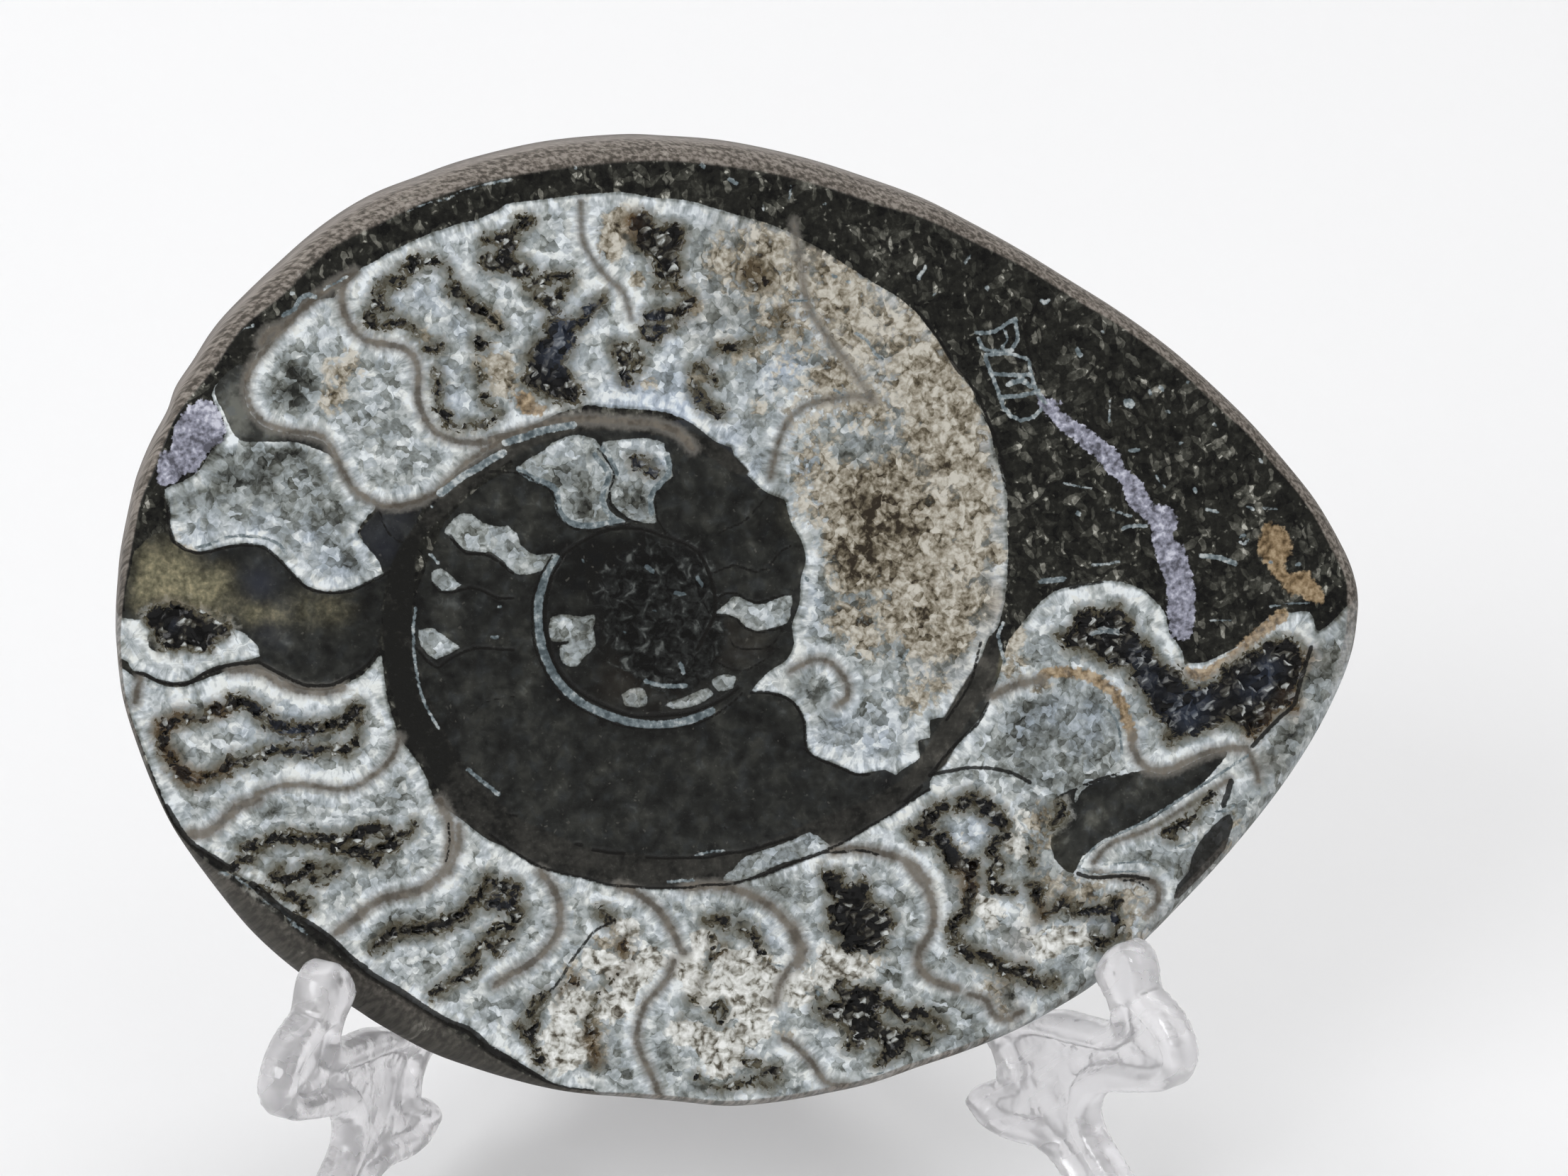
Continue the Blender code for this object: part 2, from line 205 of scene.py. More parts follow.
def smooth_curve(points, closed, step):
    """Points about step apart on a Catmull-Rom curve through the given ones."""
    given = np.array(points, float)
    if closed:
        ends = np.vstack([given[-1], given, given[0], given[1]])
    else:
        ends = np.vstack([2 * given[0] - given[1], given, 2 * given[-1] - given[-2]])
    found = []
    for before, start, end, after in zip(ends, ends[1:], ends[2:], ends[3:]):
        count = max(1, int(np.linalg.norm((end - start)[:2]) / step))
        t = (np.arange(count) / count)[:, None]
        found.append(
            start * (2 * t**3 - 3 * t**2 + 1)
            + (end - before) * 0.5 * (t**3 - 2 * t**2 + t)
            + end * (3 * t**2 - 2 * t**3)
            + (after - start) * 0.5 * (t**3 - t**2)
        )
    if not closed:
        found.append(given[-1:])
    return np.vstack(found)


def radii(curve, angles):
    """How far a star-shaped curve is from the centre in each direction."""
    turn = np.arctan2(curve[:, 1], curve[:, 0])
    order = np.argsort(turn)
    return np.interp(angles, turn[order], np.hypot(*curve.T)[order], period=2 * math.pi)


# What the face is made of: each area's kind, 0 and name, or each line's kind and width, and its course. The
# pale lines that hug the face's edge at the upper left, along the top and at the bottom are painted
# highlight, where the polished edge catches the light.
OUTLINES = """
calcite 0 upper body: -38.9,18.1 -39,19 -38.8,20 -38.5,20.9 -38.1,21.7 -37.5,22.3 -36.8,22.8 -36.2,23.4
-35.5,24 -34.7,24.9 -33.9,25.6 -33,26 -32.1,26 -31.3,27 -30.6,27.5 -29.9,28.4 -29,28.8 -27.9,29.5
-26.7,30.1 -25.6,30.6 -24.5,31.1 -23.3,31.5 -22.2,31.9 -21,32.1 -20.1,32.5 -19.2,32.9 -18.6,33.4
-17.3,33.6 -15.5,33.8 -14,34 -12.5,34.2 -10.9,34.3 -9.5,34.4 -8.2,34.2 -6.4,33.9 -4.5,33.8 -3.2,33.5
-1.8,33.1 -0.5,32.7 1.1,32.3 2.7,31.8 4.1,31.2 5.2,30.6 6.8,29.8 8.2,28.9 9.5,28.1 11.1,27.1 12.7,26.2
14.1,25.1 14,25.2 14.7,24.5 15.4,23.6 16.3,22.5 17.2,21.1 18.1,20 18.8,19.1 19.3,18 19.9,16.6 20.6,15.2
20.9,13.9 21.3,12.7 21.3,14 21.5,12.6 21.8,11.5 22,10.4 22.1,9 22.1,7.4 22.2,5.8 22.2,4.2 22.1,2.6 22,1.3
21.7,0.1 21.5,-0.8 20.9,-1.5 20.3,-2.8 20,-4.2 19.4,-5.3 18.7,-6 18,-7.1 17.4,-8.2 16,-8.4 16,-9.9
15,-10.1 15.2,-11.5 14.8,-11.9 13.6,-12.6 13.2,-13 12.3,-12.5 11.1,-12.7 10,-12.8 9.1,-12.5 8,-11.9
6.8,-11.5 5.9,-10.8 5.7,-9.9 5.6,-8.3 5,-7.1 4.1,-6.3 2.7,-6 1.2,-5.9 1.6,-5.3 2.7,-4.2 4.1,-3.3 4.7,-1.9
4.5,-0.5 5.1,1.3 5.2,3.3 5.6,4.9 5.2,6.5 4.5,7.6 4.1,8.8 3.9,9.7 2.3,10.4 1.1,11.5 0,12.6 -0.5,14
-1.1,14.2 -1.8,14.5 -2.7,15.2 -3.6,15.9 -4.3,16.3 -5.5,16.8 -6.4,17 -7.3,17.1 -9.1,17.2 -10.5,17.3
-12,17.5 -13.2,17.2 -14.5,16.8 -15.9,16.1 -17.3,15.6 -18.6,15.3 -20,15 -19.9,14 -21,13.1 -22.2,12.3
-23.3,11.3 -24.2,10.6 -25.1,10.1 -26.3,9.9 -27.4,9.6 -28.5,9.6 -29.5,9.8 -30.4,10.2 -31,11.2 -31.6,12.2
-32.1,13.1 -32.4,14 -32.8,14.5 -33.2,15 -33.9,15.3 -35.1,15.5 -36.5,15.6 -37.4,15.8 -37.8,16.2 -38.3,16.8
-38.7,17.5 |
calcite 0 grey chamber on the left: -45.4,11 -45.2,9.5 -45.1,7.9 -44.7,6.7 -44,6.2 -43.1,6 -42,6 -41.3,6.3
-40.4,6.5 -39.5,6.5 -38.1,6.4 -37.2,5.8 -36.3,5 -35.4,4 -34.5,3.2 -33.5,2.8 -32.2,2.6 -30.8,2.9 -29.5,3.4
-28.3,4 -28.5,5.4 -29.9,6.7 -30.4,7.4 -29.5,8.8 -28.8,9.5 -29.5,9.8 -30.4,10.2 -31,11.2 -31.6,12.2
-32.1,13.1 -32.4,14 -32.8,14.5 -33.2,15 -33.9,15.3 -35.1,15.5 -36.5,15.6 -37.4,15.8 -38.3,16.8 -38.9,18.1
-39.2,19.3 -40.4,19.6 -41.3,19.3 -41.7,18.4 -41.3,17.5 -40.8,16.5 -40.6,15.6 -40.8,15 -41.7,14.1
-42.6,12.6 -43.3,12 -44.2,11.5 |
calcite 0 crescent on the left: -49.9,0.9 -48.9,0.8 -47.4,0.6 -46.7,-0.5 -46.5,-1.7 -44.9,-1.9 -43.3,-1.9
-42.2,-2.1 -41.7,-1.5 -40.6,-0.8 -40.4,-0.1 -39.5,-0.5 -38.5,-0.5 -38.3,-1.5 -38.1,-2.4 -39.5,-2.8
-40.8,-3 -42.2,-3.4 -43.3,-4.1 -44.2,-4.5 -45.1,-4.5 -46.3,-4.2 -47,-3.7 -48.1,-3.5 -48.5,-2.8 -49.7,-1.9 |
calcite 0 lower body: -49.5,-3.7 -48,-4 -47.2,-4 -46.3,-4.5 -44.9,-4.9 -43.5,-4.6 -42.2,-4.1 -40.4,-3.5
-39,-3.3 -37.6,-3.7 -36.7,-4.2 -35.8,-4.8 -34.7,-5.2 -33.5,-5.3 -32.2,-5.1 -31,-4.6 -30,-4 -29.1,-3
-28.6,-2.4 -28.4,-3.7 -28.1,-6 -27.6,-7.8 -27,-9.4 -26,-10.8 -25.1,-12.4 -24.5,-14 -23.4,-15.1 -22.2,-16
-21,-17 -19.9,-17.8 -18,-18.5 -18.6,-18.3 -17.3,-19.2 -15.9,-20 -14.1,-20.6 -12.3,-21 -10.5,-21.6
-8.6,-21.8 -6.4,-22 -4.1,-22 -2.3,-21.8 -0.7,-21.8 0.5,-21.6 2.7,-21 5,-20 7.3,-19.2 9.1,-18.4 10.7,-17.4
12.7,-16.3 14.1,-15.4 16,-14.2 16,-13.5 17.4,-11.7 19,-9.6 20.1,-8.3 21,-6.5 21.7,-4.6 21.9,-3.7 22.4,-1.9
23.3,-0.8 24,0.1 25.1,1.3 26.2,2.1 27.8,2.5 29.6,2.8 31,2.9 32.4,2.6 33.7,2 34.4,1.3 35.1,0.6 35.5,-0.1
35.8,-1.5 36.5,-2.4 37,-3.3 37.1,-4.2 37.6,-4 38.7,-4 40.1,-3.4 41.5,-2.7 42.4,-1.9 43.3,-1 44.4,-0.1
46.2,0.1 47.6,0.1 48.3,-1.5 49.4,-0.8 52,0.4 50.4,-14 50,-41.7 36.7,-43.5 14,-43.5 2.7,-41.8 -8.6,-41.8
-11.4,-38.9 -13.2,-38.7 -14.8,-38.2 -15.9,-37.4 -17.3,-36.5 -18.6,-35.6 -20.6,-34.5 -21.7,-33.5
-23.1,-32.9 -24.5,-32.2 -25.8,-31.3 -27.2,-30.4 -28.5,-29.5 -29.9,-28.5 -31.3,-27.2 -32.4,-26 -33.5,-25.1
-34.7,-24.3 -36,-23.5 -37,-22.6 -38.1,-21.7 -39.2,-20.8 -40.4,-19.9 -41.3,-19.2 -42.6,-18.3 -43.8,-17.6
-44.5,-16.5 -45.6,-14.7 |
inner 0 sliver under the whorl: -1.1,-21.4 -0.2,-20.6 0.9,-19.5 2.7,-18.9 5,-18.1 6.1,-17.6 7.3,-18.3
8,-18.9 6.1,-19.7 3.9,-20.1 2.3,-20.8 0.5,-21.5 |
inner 0 inner chamber one: -23.5,7.4 -22.9,8.3 -22,8.9 -21.3,8.8 -20.4,8.1 -19.2,7.8 -18,7.8 -18.6,7.9
-17.7,7.2 -17.4,6.3 -16.6,5.6 -15.5,5.5 -14.4,5.6 -14.5,5.1 -15.1,4.5 -16.4,4 -17.5,3.9 -18.4,4.2
-18.6,4.9 -19.3,5.4 -20,6 -19.9,5.7 -21,5.8 -22,6 -22.4,6.5 -23.1,7 |
inner 0 inner chamber two: -24.5,4.2 -23.8,4.5 -22.9,3.8 -22.2,3.1 -22.9,2.6 -23.8,2.6 -24.5,3.5 |
inner 0 inner chamber three: -25.6,-0.5 -24.7,-0.3 -23.8,-0.8 -22.6,-1.7 -22.2,-1.9 -23.5,-2.6 -24.2,-2.9
-24.9,-2.4 -25.4,-1.7 |
inner 0 inner chamber four: -17.6,12.5 -16.6,13.3 -15.5,13.9 -15,14.4 -13.2,15.1 -11.4,14.7 -10.9,14
-10.9,13.5 -10.3,12.6 -10,12.1 -10.2,10.8 -10.6,9.7 -10.2,8.8 -9.1,8.2 -10,8 -10.9,7.8 -12,7.6 -13.2,7.8
-14.1,8.3 -14.4,9.2 -14.5,10.4 -15.2,11 -16.1,11.4 -17,12 |
inner 0 inner chamber five: -10.7,14 -10.9,14.5 -9.1,14.7 -7.3,14.8 -5.9,14.4 -5.9,14 -5.5,12.9 -5.2,11.7
-5.9,11.2 -6.6,10.6 -6.8,9.7 -6.6,8.8 -6.5,8 -7.5,8 -8.6,8.3 -9.4,8.9 -10.1,9.7 -10.2,10.6 -9.8,11.7
-9.9,12.4 |
inner 0 inner chamber six: -1.8,0.6 -0.9,1.3 -0.2,2 0.5,1.8 1.4,1.3 2.3,1.3 3.2,1.7 4.5,2 4.4,0.8 4.1,-0.3
2.7,-0.7 1.6,-0.9 0.7,-0.5 0.2,0.1 -0.7,0.5 |
inner 0 core piece left: -15,0.4 -13.6,0.6 -12.5,0.4 -11.4,0.6 -11.6,-0.5 -11.4,-1.9 -12.3,-2.8 -13,-3.6
-14.1,-3.3 -14.3,-1.9 -13.5,-1.7 -13.6,-1.5 -15,-1.5 |
inner 0 core piece low: -9.3,-6 -8.6,-5.5 -7.5,-5.5 -7.3,-6.9 -9.1,-6.8 |
inner 0 core piece right: -2,-4.9 -0.9,-4.4 0,-4.6 -0.2,-5.5 -1.4,-5.8 |
inner 0 core strip: -5.9,-6.9 -4.1,-6.2 -2.3,-5.5 -1.8,-6 -3.2,-6.9 -5,-7.2 |
mud 0 left chamber: -49.5,1.3 -48.7,1.3 -48.7,2.6 -48.2,4.5 -47.9,6 -47.2,6.7 -46.3,7.4 -45.4,7.6
-44.9,6.7 -44.2,6.2 -43.1,5.9 -42,5.9 -40.8,6.2 -39.5,6.5 -38.1,6.3 -37.2,5.8 -36.3,4.9 -35.4,3.9 -34.5,3
-32.2,2.5 -29.5,3.3 -27.9,4 -28.3,2.6 -28.5,0.4 -28.8,-1.7 -29.2,-2.6 -30.1,-3.5 -31.3,-4.2 -32.9,-4.8
-34.5,-4.7 -36,-4.2 -37.4,-3.5 -38.1,-2.9 -38.3,-1.7 -39.5,-0.5 -40.4,-0.1 -40.6,0.4 -41.7,0.6 -42.6,0.8
-43.1,1.3 -44.2,1.6 -44.9,1.8 -45.6,2 -46.3,1.6 -47,0.9 -47.4,0.6 -48.9,0.8 |
mud 0 spot in the crescent: -47,-0.5 -46.4,-0.8 -45.8,-1.7 -45.1,-1.9 -46.3,-2 -46.8,-1.7 |
mud 0 corner of the grey chamber: -28.5,9.5 -26.7,9.7 -25.1,10 -25.8,8 -26.8,6.3 -27.6,4.7 -28.3,4
-28.7,5.1 -29.9,6.6 -30.2,7.4 -29.1,8.8 |
mud 0 inner whorl: -18,12.6 -19.9,11.5 -21.7,10.1 -22.9,8.8 -23.5,8.1 -24.5,5.8 -25.1,4.2 -25.8,2.2
-25.9,-0.5 -25.8,-3.3 -25.1,-6 -24,-8.7 -22.6,-11 -20.8,-13.8 -24.5,-14 -23.4,-15.1 -22.2,-16 -21,-17
-19.9,-17.8 -18,-18.5 -18.6,-18.3 -17.3,-19.2 -15.9,-20 -14.1,-20.6 -12.3,-21 -10.5,-21.6 -8.6,-21.8
-6.4,-22 -4.1,-22 -2.3,-21.8 -0.7,-21.8 0.5,-21.6 2.7,-21 5,-20 7.3,-19.2 9.1,-18.4 10.7,-17.4 12.7,-16.3
14.1,-15.4 16,-14.2 16,-13.5 17.4,-11.7 19,-9.6 20.1,-8.3 21,-6.5 21.7,-4.6 21.9,-3.7 21.7,-2.4 21.3,-1.6
20.8,-1.5 20.3,-2.8 20,-4.2 19.4,-5.3 18.7,-6 18,-7.1 17.4,-8.2 16,-8.4 16,-9.9 15,-10.1 15.2,-11.5
14.8,-11.9 13.6,-12.6 13.2,-13 12.3,-12.5 11.1,-12.7 10,-12.8 9.1,-12.5 8,-11.9 6.8,-11.5 5.9,-10.8
5.7,-9.9 5.6,-8.3 5,-7.1 4.1,-6.3 2.7,-6 1.2,-5.9 1.6,-5.3 2.7,-4.2 4.1,-3.3 4.7,-1.9 4.5,-0.5 5.1,1.3
5.2,3.3 5.6,4.9 5.2,6.5 4.5,7.6 4.1,8.8 3.9,9.7 2.3,10.4 1.1,11.5 0,12.6 -0.5,14 -1.1,14.2 -1.8,14.5
-2.7,15.2 -3.6,15.9 -4.3,16.3 -5.5,16.1 -6.4,15.9 -8.2,16 -10,16.1 -11.8,16.2 -13.2,15.9 -14.8,15.4
-17,14.5 -18.6,14 |
mud 0 triangle at the lower right: 26.3,-18.1 27.2,-17.4 28.1,-15.8 28.5,-14.9 29.5,-14 33.3,-13 34.4,-13
35.5,-13.3 36.5,-13 37.8,-12.4 39.4,-11.7 41,-11.5 39,-14 37.6,-15.1 36.7,-15.8 35.8,-16.3 34.5,-17.2
33.3,-17.6 31.7,-18.3 29.9,-19.5 28.8,-20.1 28.5,-21 28.1,-21.5 27.2,-21 26.5,-20.1 26.2,-19.2 |
mud 0 wall between the last chambers: 26.3,-15.4 27.6,-14.5 30.5,-13.7 31.9,-13 28.5,-14.2 28.1,-16.3
27.2,-17.6 26.7,-16.7 |
mud 0 grey filling by the rim: -39.3,20.8 -39,17.8 -37.8,16 -35.5,15.3 -33,14.7 -31.9,13 -32.5,13.6
-35,14.6 -37.5,14.7 -39.6,14.9 -40.7,16.9 -41.4,19 |
band 0 whorl band: 1,12 -0.9,13.9 -4.5,15.6 -8.2,16.4 -12.7,16.6 -16.4,15.9 -20.9,13.1 -24.5,9.5 -27.3,5.7
-28.2,2.5 -28.4,-1.1 -27.7,-5.6 -26.6,-9.3 -25,-12 -23.2,-14.7 -20.9,-17 -17.7,-19 -16,-20.1 -11.7,-21.2
-7.3,-21.9 -3,-21.9 1.4,-21.3 5.7,-20 10.1,-17.9 13.6,-15.5 16.2,-12.9 17.3,-12.2 19.1,-8.5 21,-5.6
21.7,-2.7 21.2,-1.4 20.2,-3.1 18.1,-6.4 16,-10.2 14.4,-12.7 12.3,-14.2 10.1,-15.3 6.6,-16.6 3.1,-18.1
0.1,-19.2 -5.1,-19.4 -9.5,-18.9 -12.7,-18.3 -15,-17.2 -17.7,-15.9 -20,-13.8 -22.3,-11.1 -24.1,-7.5
-25.5,-3.8 -26,-0.2 -25.9,3 -25.4,6.6 -22.7,9.4 -20.3,11.6 -17.3,13.7 -14.1,15 -10,15.5 -6.4,15 -3.6,14.1
-0.5,12.1 |
lilac 0 patch on the left: -44.9,14 -44.8,15 -44.6,15.9 -44,16.8 -43.5,17.5 -42.9,17.9 -42.2,18.1
-41.6,17.8 -41.2,17.3 -40.8,16.5 -40.6,15.6 -40.8,14.8 -41.7,14.2 -42.6,13 -42.9,12.3 -44,12.1 -44.5,11.5
-45.4,11.2 -46,11.5 -46,12.6 -45.7,14 |
lilac 0 strip on the right: 24.2,18.4 25.4,17.8 26.7,17.5 26,17.3 27,16.4 28.1,15.7 29.5,14.8 30.4,14.1
31.3,13.4 31.8,12.2 31.9,12 33,11.3 33.7,10.1 34.2,9.2 35.8,8.8 36.3,7.4 35.8,6.5 36.7,5.8 37.4,4 37.8,2.2
37.9,0.4 37.8,-1 37.6,-1.9 36.9,-2.1 36,-1.9 35.7,-0.5 35.5,1.3 35.4,2.6 34.9,4 34.2,6 34,7.4 33.3,8.1
31.9,9.5 31.7,10.6 30.5,11.7 29.4,12.9 29.7,12.2 29.5,13 28.5,13.6 27.2,14.8 26.5,15.2 25.4,16.4 24.7,17 |
ochre 0 stain on the right: 43.6,7.5 44.6,7.4 45.3,7 45.8,6 45.8,4.9 45.3,4 45.8,3.3 47.4,3.5 47.8,2.9
48.7,1.7 48.7,0.8 47.6,1 46.7,1.6 45.8,1.6 45.1,2.6 44.4,3.3 43.5,4.5 43,5.4 43.3,6.5 |
ochre 0 spot on the upper left: -17.8,18.4 -16.6,18.5 -16,17.7 -15.2,17.2 -15.7,16.7 -16.8,16.7 -17.6,17.3 |
druse 0 top brown one: -8.6,32.2 -7.7,32.8 -6.8,32.2 -6.4,31.5 -5.5,32 -4.5,31.8 -4.3,30.6 -4.8,29.7
-4.5,28.4 -5,27.5 -5.9,27.2 -6.6,27.9 -6.6,29 -7.3,29.5 -8,29.7 -8.6,30.4 -8.5,31.3 |
druse 0 top blue one: -15.6,23.8 -15.1,24.4 -14.1,24.2 -12.7,24.5 -12.2,25.3 -11.1,26 -10.6,26.3
-10.5,25.9 -11.1,25.3 -12,24.5 -12.5,23.8 -13.2,23.1 -13.2,22 -13.8,20.9 -13.2,19.5 -12.6,18.4 -13,17.7
-13.9,17.5 -15.1,17.8 -15.9,18.5 -17.2,19.2 -16.6,20.1 -17.2,21.4 -16.6,22 -16.2,22.7 -15.5,23.1 |
druse 0 left chamber one: -47,0.9 -46.3,1.6 -45.6,2 -44.9,1.8 -44.2,1.6 -43.1,1.3 -42.6,0.8 -41.7,0.6
-40.6,0.1 -40.6,-0.5 -41,-1 -41.7,-1.1 -42.2,-1.9 -43.1,-2.1 -44,-1.7 -44.9,-1.9 -45.8,-1.7 -46.5,-0.8
-46.7,-0.1 |
druse 0 right big one: 26.3,-1.5 27.4,-1.2 27.8,-0.8 28.3,0.4 29.6,0.4 30.8,0.6 31.5,1 31.7,0.4 32.6,-0.3
32.7,-1.2 33.5,-1.9 34.4,-2.6 34.9,-3.5 35.3,-4 36,-4.2 37.1,-4.9 37.8,-6 38.7,-5.8 40.1,-5.3 40.5,-4.4
41.7,-3.7 43.3,-2.8 44.4,-2.1 45.5,-2.1 46.5,-2.4 47.1,-3.3 47.4,-4 47.1,-5.3 46.7,-6.5 46.5,-7.8
45.3,-7.8 44.4,-8.7 43.5,-10.1 43,-10.5 41.5,-9.2 40.5,-9.2 39.4,-9.4 38.3,-10.1 37.1,-10.3 36,-10.7
35.5,-10.1 35.8,-9 34.6,-8.3 34,-7.1 33.3,-6 32.6,-5.3 32.4,-4.2 31.7,-4.2 30.5,-4 29.6,-3.5 28.7,-3
27.6,-2.8 26.9,-2.1 |
druse 0 lower middle one: 7.2,-20.6 8,-21.3 8.6,-20.8 9.5,-22.4 10.5,-21.5 11.1,-22.2 11.4,-23.5
12.5,-23.8 13.2,-25.1 12.5,-26 12.5,-27.2 11.4,-27.9 10.2,-27.6 10,-28.5 9.3,-27.9 8.2,-27.2 8.9,-26.7
8.2,-26.3 7.5,-25.4 8,-24.9 7.6,-24 8.2,-23.5 7.6,-22.6 7.3,-21.5 |
druse 0 lower middle two: 8.1,-29.9 8.9,-29.5 9.5,-29.9 9.3,-30.8 10.7,-30.6 11.8,-30.8 12.5,-32
11.8,-32.9 12.5,-33.8 14.1,-34.5 14.3,-35.8 13,-37 11.8,-37.2 12.3,-35.8 11.6,-35.1 10.2,-36 9.3,-35.8
9.5,-34.5 8.6,-33.8 7.5,-33.5 6.6,-32.2 8,-32 9.1,-32 8.2,-30.8 |
druse 0 inner five: -8.6,13.3 -7.3,13.1 -6.4,12.1 -6.6,11.8 -7.5,12.1 -8.4,12.6 |
dark 0 gap at the lower right: 40.4,-17.2 41.3,-16.7 41.6,-17.4 41.3,-18.5 41,-19.7 40.1,-20.8 39,-22
37.9,-23.1 36.7,-24.2 36.7,-23.5 37,-22.6 37.9,-21.5 38.1,-20.4 38.8,-19 39.7,-17.9 |
wall 0.5: -31,27.5 -31.5,26.3 -31.3,25.2 -30.9,24.1 -30.2,23.2 -29.6,22.7 -28.5,22.4 -27.4,22.3 -26.4,22
-25.8,21.4 -25.5,20.3 -25.5,19 -25.5,17.9 -25.2,17 -24.8,16.1 -24.1,15.4 -23.2,14.9 -22.2,14.6 -21,14.5
-19.9,14.6 -18.5,14.9 |
wall 0.45: -37.8,22.5 -37.2,23.4 -36,23.8 -35.1,24.6 -34.2,25.5 -33.1,26.3 -32.2,27 -31.3,27.6 -30.4,28 |
wall 0.59: -40.4,-3.6 -39.2,-3.5 -38.1,-3.7 -37,-4.4 -35.8,-5 -34.7,-5.3 -33.1,-5.4 -31.7,-5.1 |
wall 0.45: -47.6,-4.2 -47.9,-5.3 -48,-6 |
wall 0.36: -38.5,-13.6 -36.7,-13 -34.7,-12.9 -32.4,-13.3 -30.8,-13.2 -29.5,-12.4 -28.3,-11.5 -27.5,-10.3
-27.2,-9.2 |
wall 0.77: -44,-16.8 -42.6,-16.7 -41.5,-16 -40.6,-15.1 -39.9,-14.5 -38.5,-14 |
wall 0.68: -24,-14.5 -23.4,-15.6 -23.1,-17 -23.2,-18.5 -23.4,-19.7 -24.2,-20.8 -25.4,-21.6 -26.7,-22
-28.3,-22.3 -29.5,-22.9 -30.6,-23.8 -31.5,-24.5 -32.4,-25.1 |
wall 0.45: -22.5,-16.5 -22.4,-17.9 -22.9,-19.2 -23.3,-20.4 |
wall 0.59: -15.9,-20.4 -15,-21.5 -14.4,-22.9 -14.3,-24 -14.4,-25.4 -15.1,-26.5 -15.7,-27.2 -16.8,-28.1
-18.2,-28.8 -19.5,-29.7 |
wall 0.55: -9.5,-21.7 -8.2,-22.3 -7,-23.1 -6.1,-24 -5.5,-24.9 -5,-25.8 -4.5,-27 -4.1,-27.4 |
wall 0.59: -4.1,-22 -1.8,-21.9 0,-22.2 1.4,-22.8 2.5,-23.4 3.6,-24.3 4.5,-25.4 5.2,-26.5 5.7,-27.6 |
wall 0.91: 4.7,-25.4 5.2,-26.5 5.6,-27.4 5.2,-28.5 |
wall 0.45: -5,-28.1 -5.5,-29.5 -6.4,-30.6 -7.3,-31.7 -7.8,-33.1 -8,-34.5 -7.6,-36 -7,-37.2 -6.6,-38.1
-6.1,-39.5 |
wall 0.41: 4.8,-28.5 4.1,-29.7 3.6,-30.6 3.4,-32 |
wall 0.41: 4.1,-34.9 5,-35.4 5.9,-36.3 6.8,-37.4 7.3,-38.3 8.2,-38.9 9.5,-39 |
wall 0.59: 8,-19.2 9.5,-19.1 11.1,-19.2 12.7,-19.6 14.1,-20.1 15.2,-21 16,-22 |
wall 0.59: 14,-20.1 14.9,-21.3 15.8,-22.4 16.4,-23.8 16.5,-25.4 16,-26.7 15.4,-27.6 15.2,-28.8 16,-29.9
17.2,-30.6 18.5,-31 |
wall 0.45: 19.5,-31.5 21,-32 21.5,-33.1 22.6,-33.8 24,-33.1 |
wall 0.55: 21.2,-6.5 22.1,-6 23.5,-5.5 25.1,-5.2 |
wall 0.55: 32.9,-10.1 32.9,-11 33.5,-12.1 34.4,-12.9 35.3,-13 36.5,-12.8 37.8,-12.1 39.4,-11.5 41,-11.2
42.4,-11.2 |
wall 0.32: 42.6,-11.2 43,-12.1 43.5,-13.3 43.6,-14 |
wall 0.45: 29.9,-21.5 31.7,-21.8 33.5,-22 34.9,-22.4 35.4,-23.3 35.1,-24.5 34.5,-24.9 |
wall 0.36: 4.5,-4.2 5.7,-3.5 7,-3.3 8.2,-4 9.1,-5.3 9.1,-6.5 8.2,-7.1 |
wall 0.5: -20,14.6 -18.6,15 -17.3,15.5 -15.9,15.8 -14.5,16.3 -13.2,16.3 -11.8,16.4 -10,16.2 -8.2,16.1
-6.4,15.9 -5.5,15.6 -4.5,15 -3.6,14 |
wall 0.4: -35,24.6 -37.3,22.2 -38.8,20 -38.8,17.8 -37.6,16.2 -35.5,15.5 -33,15 -31.8,13 -30.5,10.8
-28.2,9.6 -25.9,9.8 -23.9,10.8 -21.8,12.8 -19.1,14.7 |
wall 0.18: 2.7,11.6 3.2,14 4,16 5.6,17.4 7.7,17.9 9.5,18.1 11,17.7 |
wall 0.12: 4.4,32 5,28.5 5.7,25.2 7.7,22.3 9.3,20.2 11,17.7 |
wall 0.12: -12.6,33.6 -12.4,30.6 -11,28.2 -9.2,26.4 -8.6,24.4 |
wall 0.25: 29.8,-20.6 31.3,-19 34.4,-17.9 38,-15.8 41.2,-13.8 |
dark 0.27: -45.2,9.7 -45.1,7.9 -44.7,6.8 -44,6.2 -43.1,5.9 -42,6 -40.8,6.3 -39.5,6.5 -38.1,6.4 -37.2,5.9
-36.3,5 -35.4,4 -34.5,3.1 -33.5,2.7 -32.2,2.6 -30.8,2.8 -29.5,3.4 -28.3,4 -27.8,4.3 |
dark 0.3: -47.9,-3.6 -47.2,-3.8 -46.5,-4.2 -45.6,-4.5 -44.5,-4.6 -43.5,-4.4 -42.6,-3.8 -41.5,-3.4
-40.4,-3.1 -39.2,-3 -38.3,-2.9 -37.6,-3.3 -36.7,-3.8 -35.8,-4.3 -34.7,-4.8 -33.5,-4.9 -32.4,-4.8
-31.3,-4.3 -30.1,-3.6 -29.2,-2.7 -28.7,-1.9 |
dark 0.27: -23.1,7.2 -22.4,6.2 -21.7,5.6 -20.4,5.6 -19.2,5 -18.3,4.2 -18,4 |
dark 0.25: -24.5,3.3 -23.8,2.6 -22.6,2.6 -21.5,2.9 -20.4,2.6 -19.2,2 -18,2 |
dark 0.25: -25.8,-1.9 -24.9,-3 -24,-3.6 -23.3,-3 -22.2,-2.4 -21,-2 -19.5,-2.1 -18,-2.2 |
dark 0.11: -21.5,-7.4 -20.4,-6.5 -19.5,-6.2 -18,-6 |
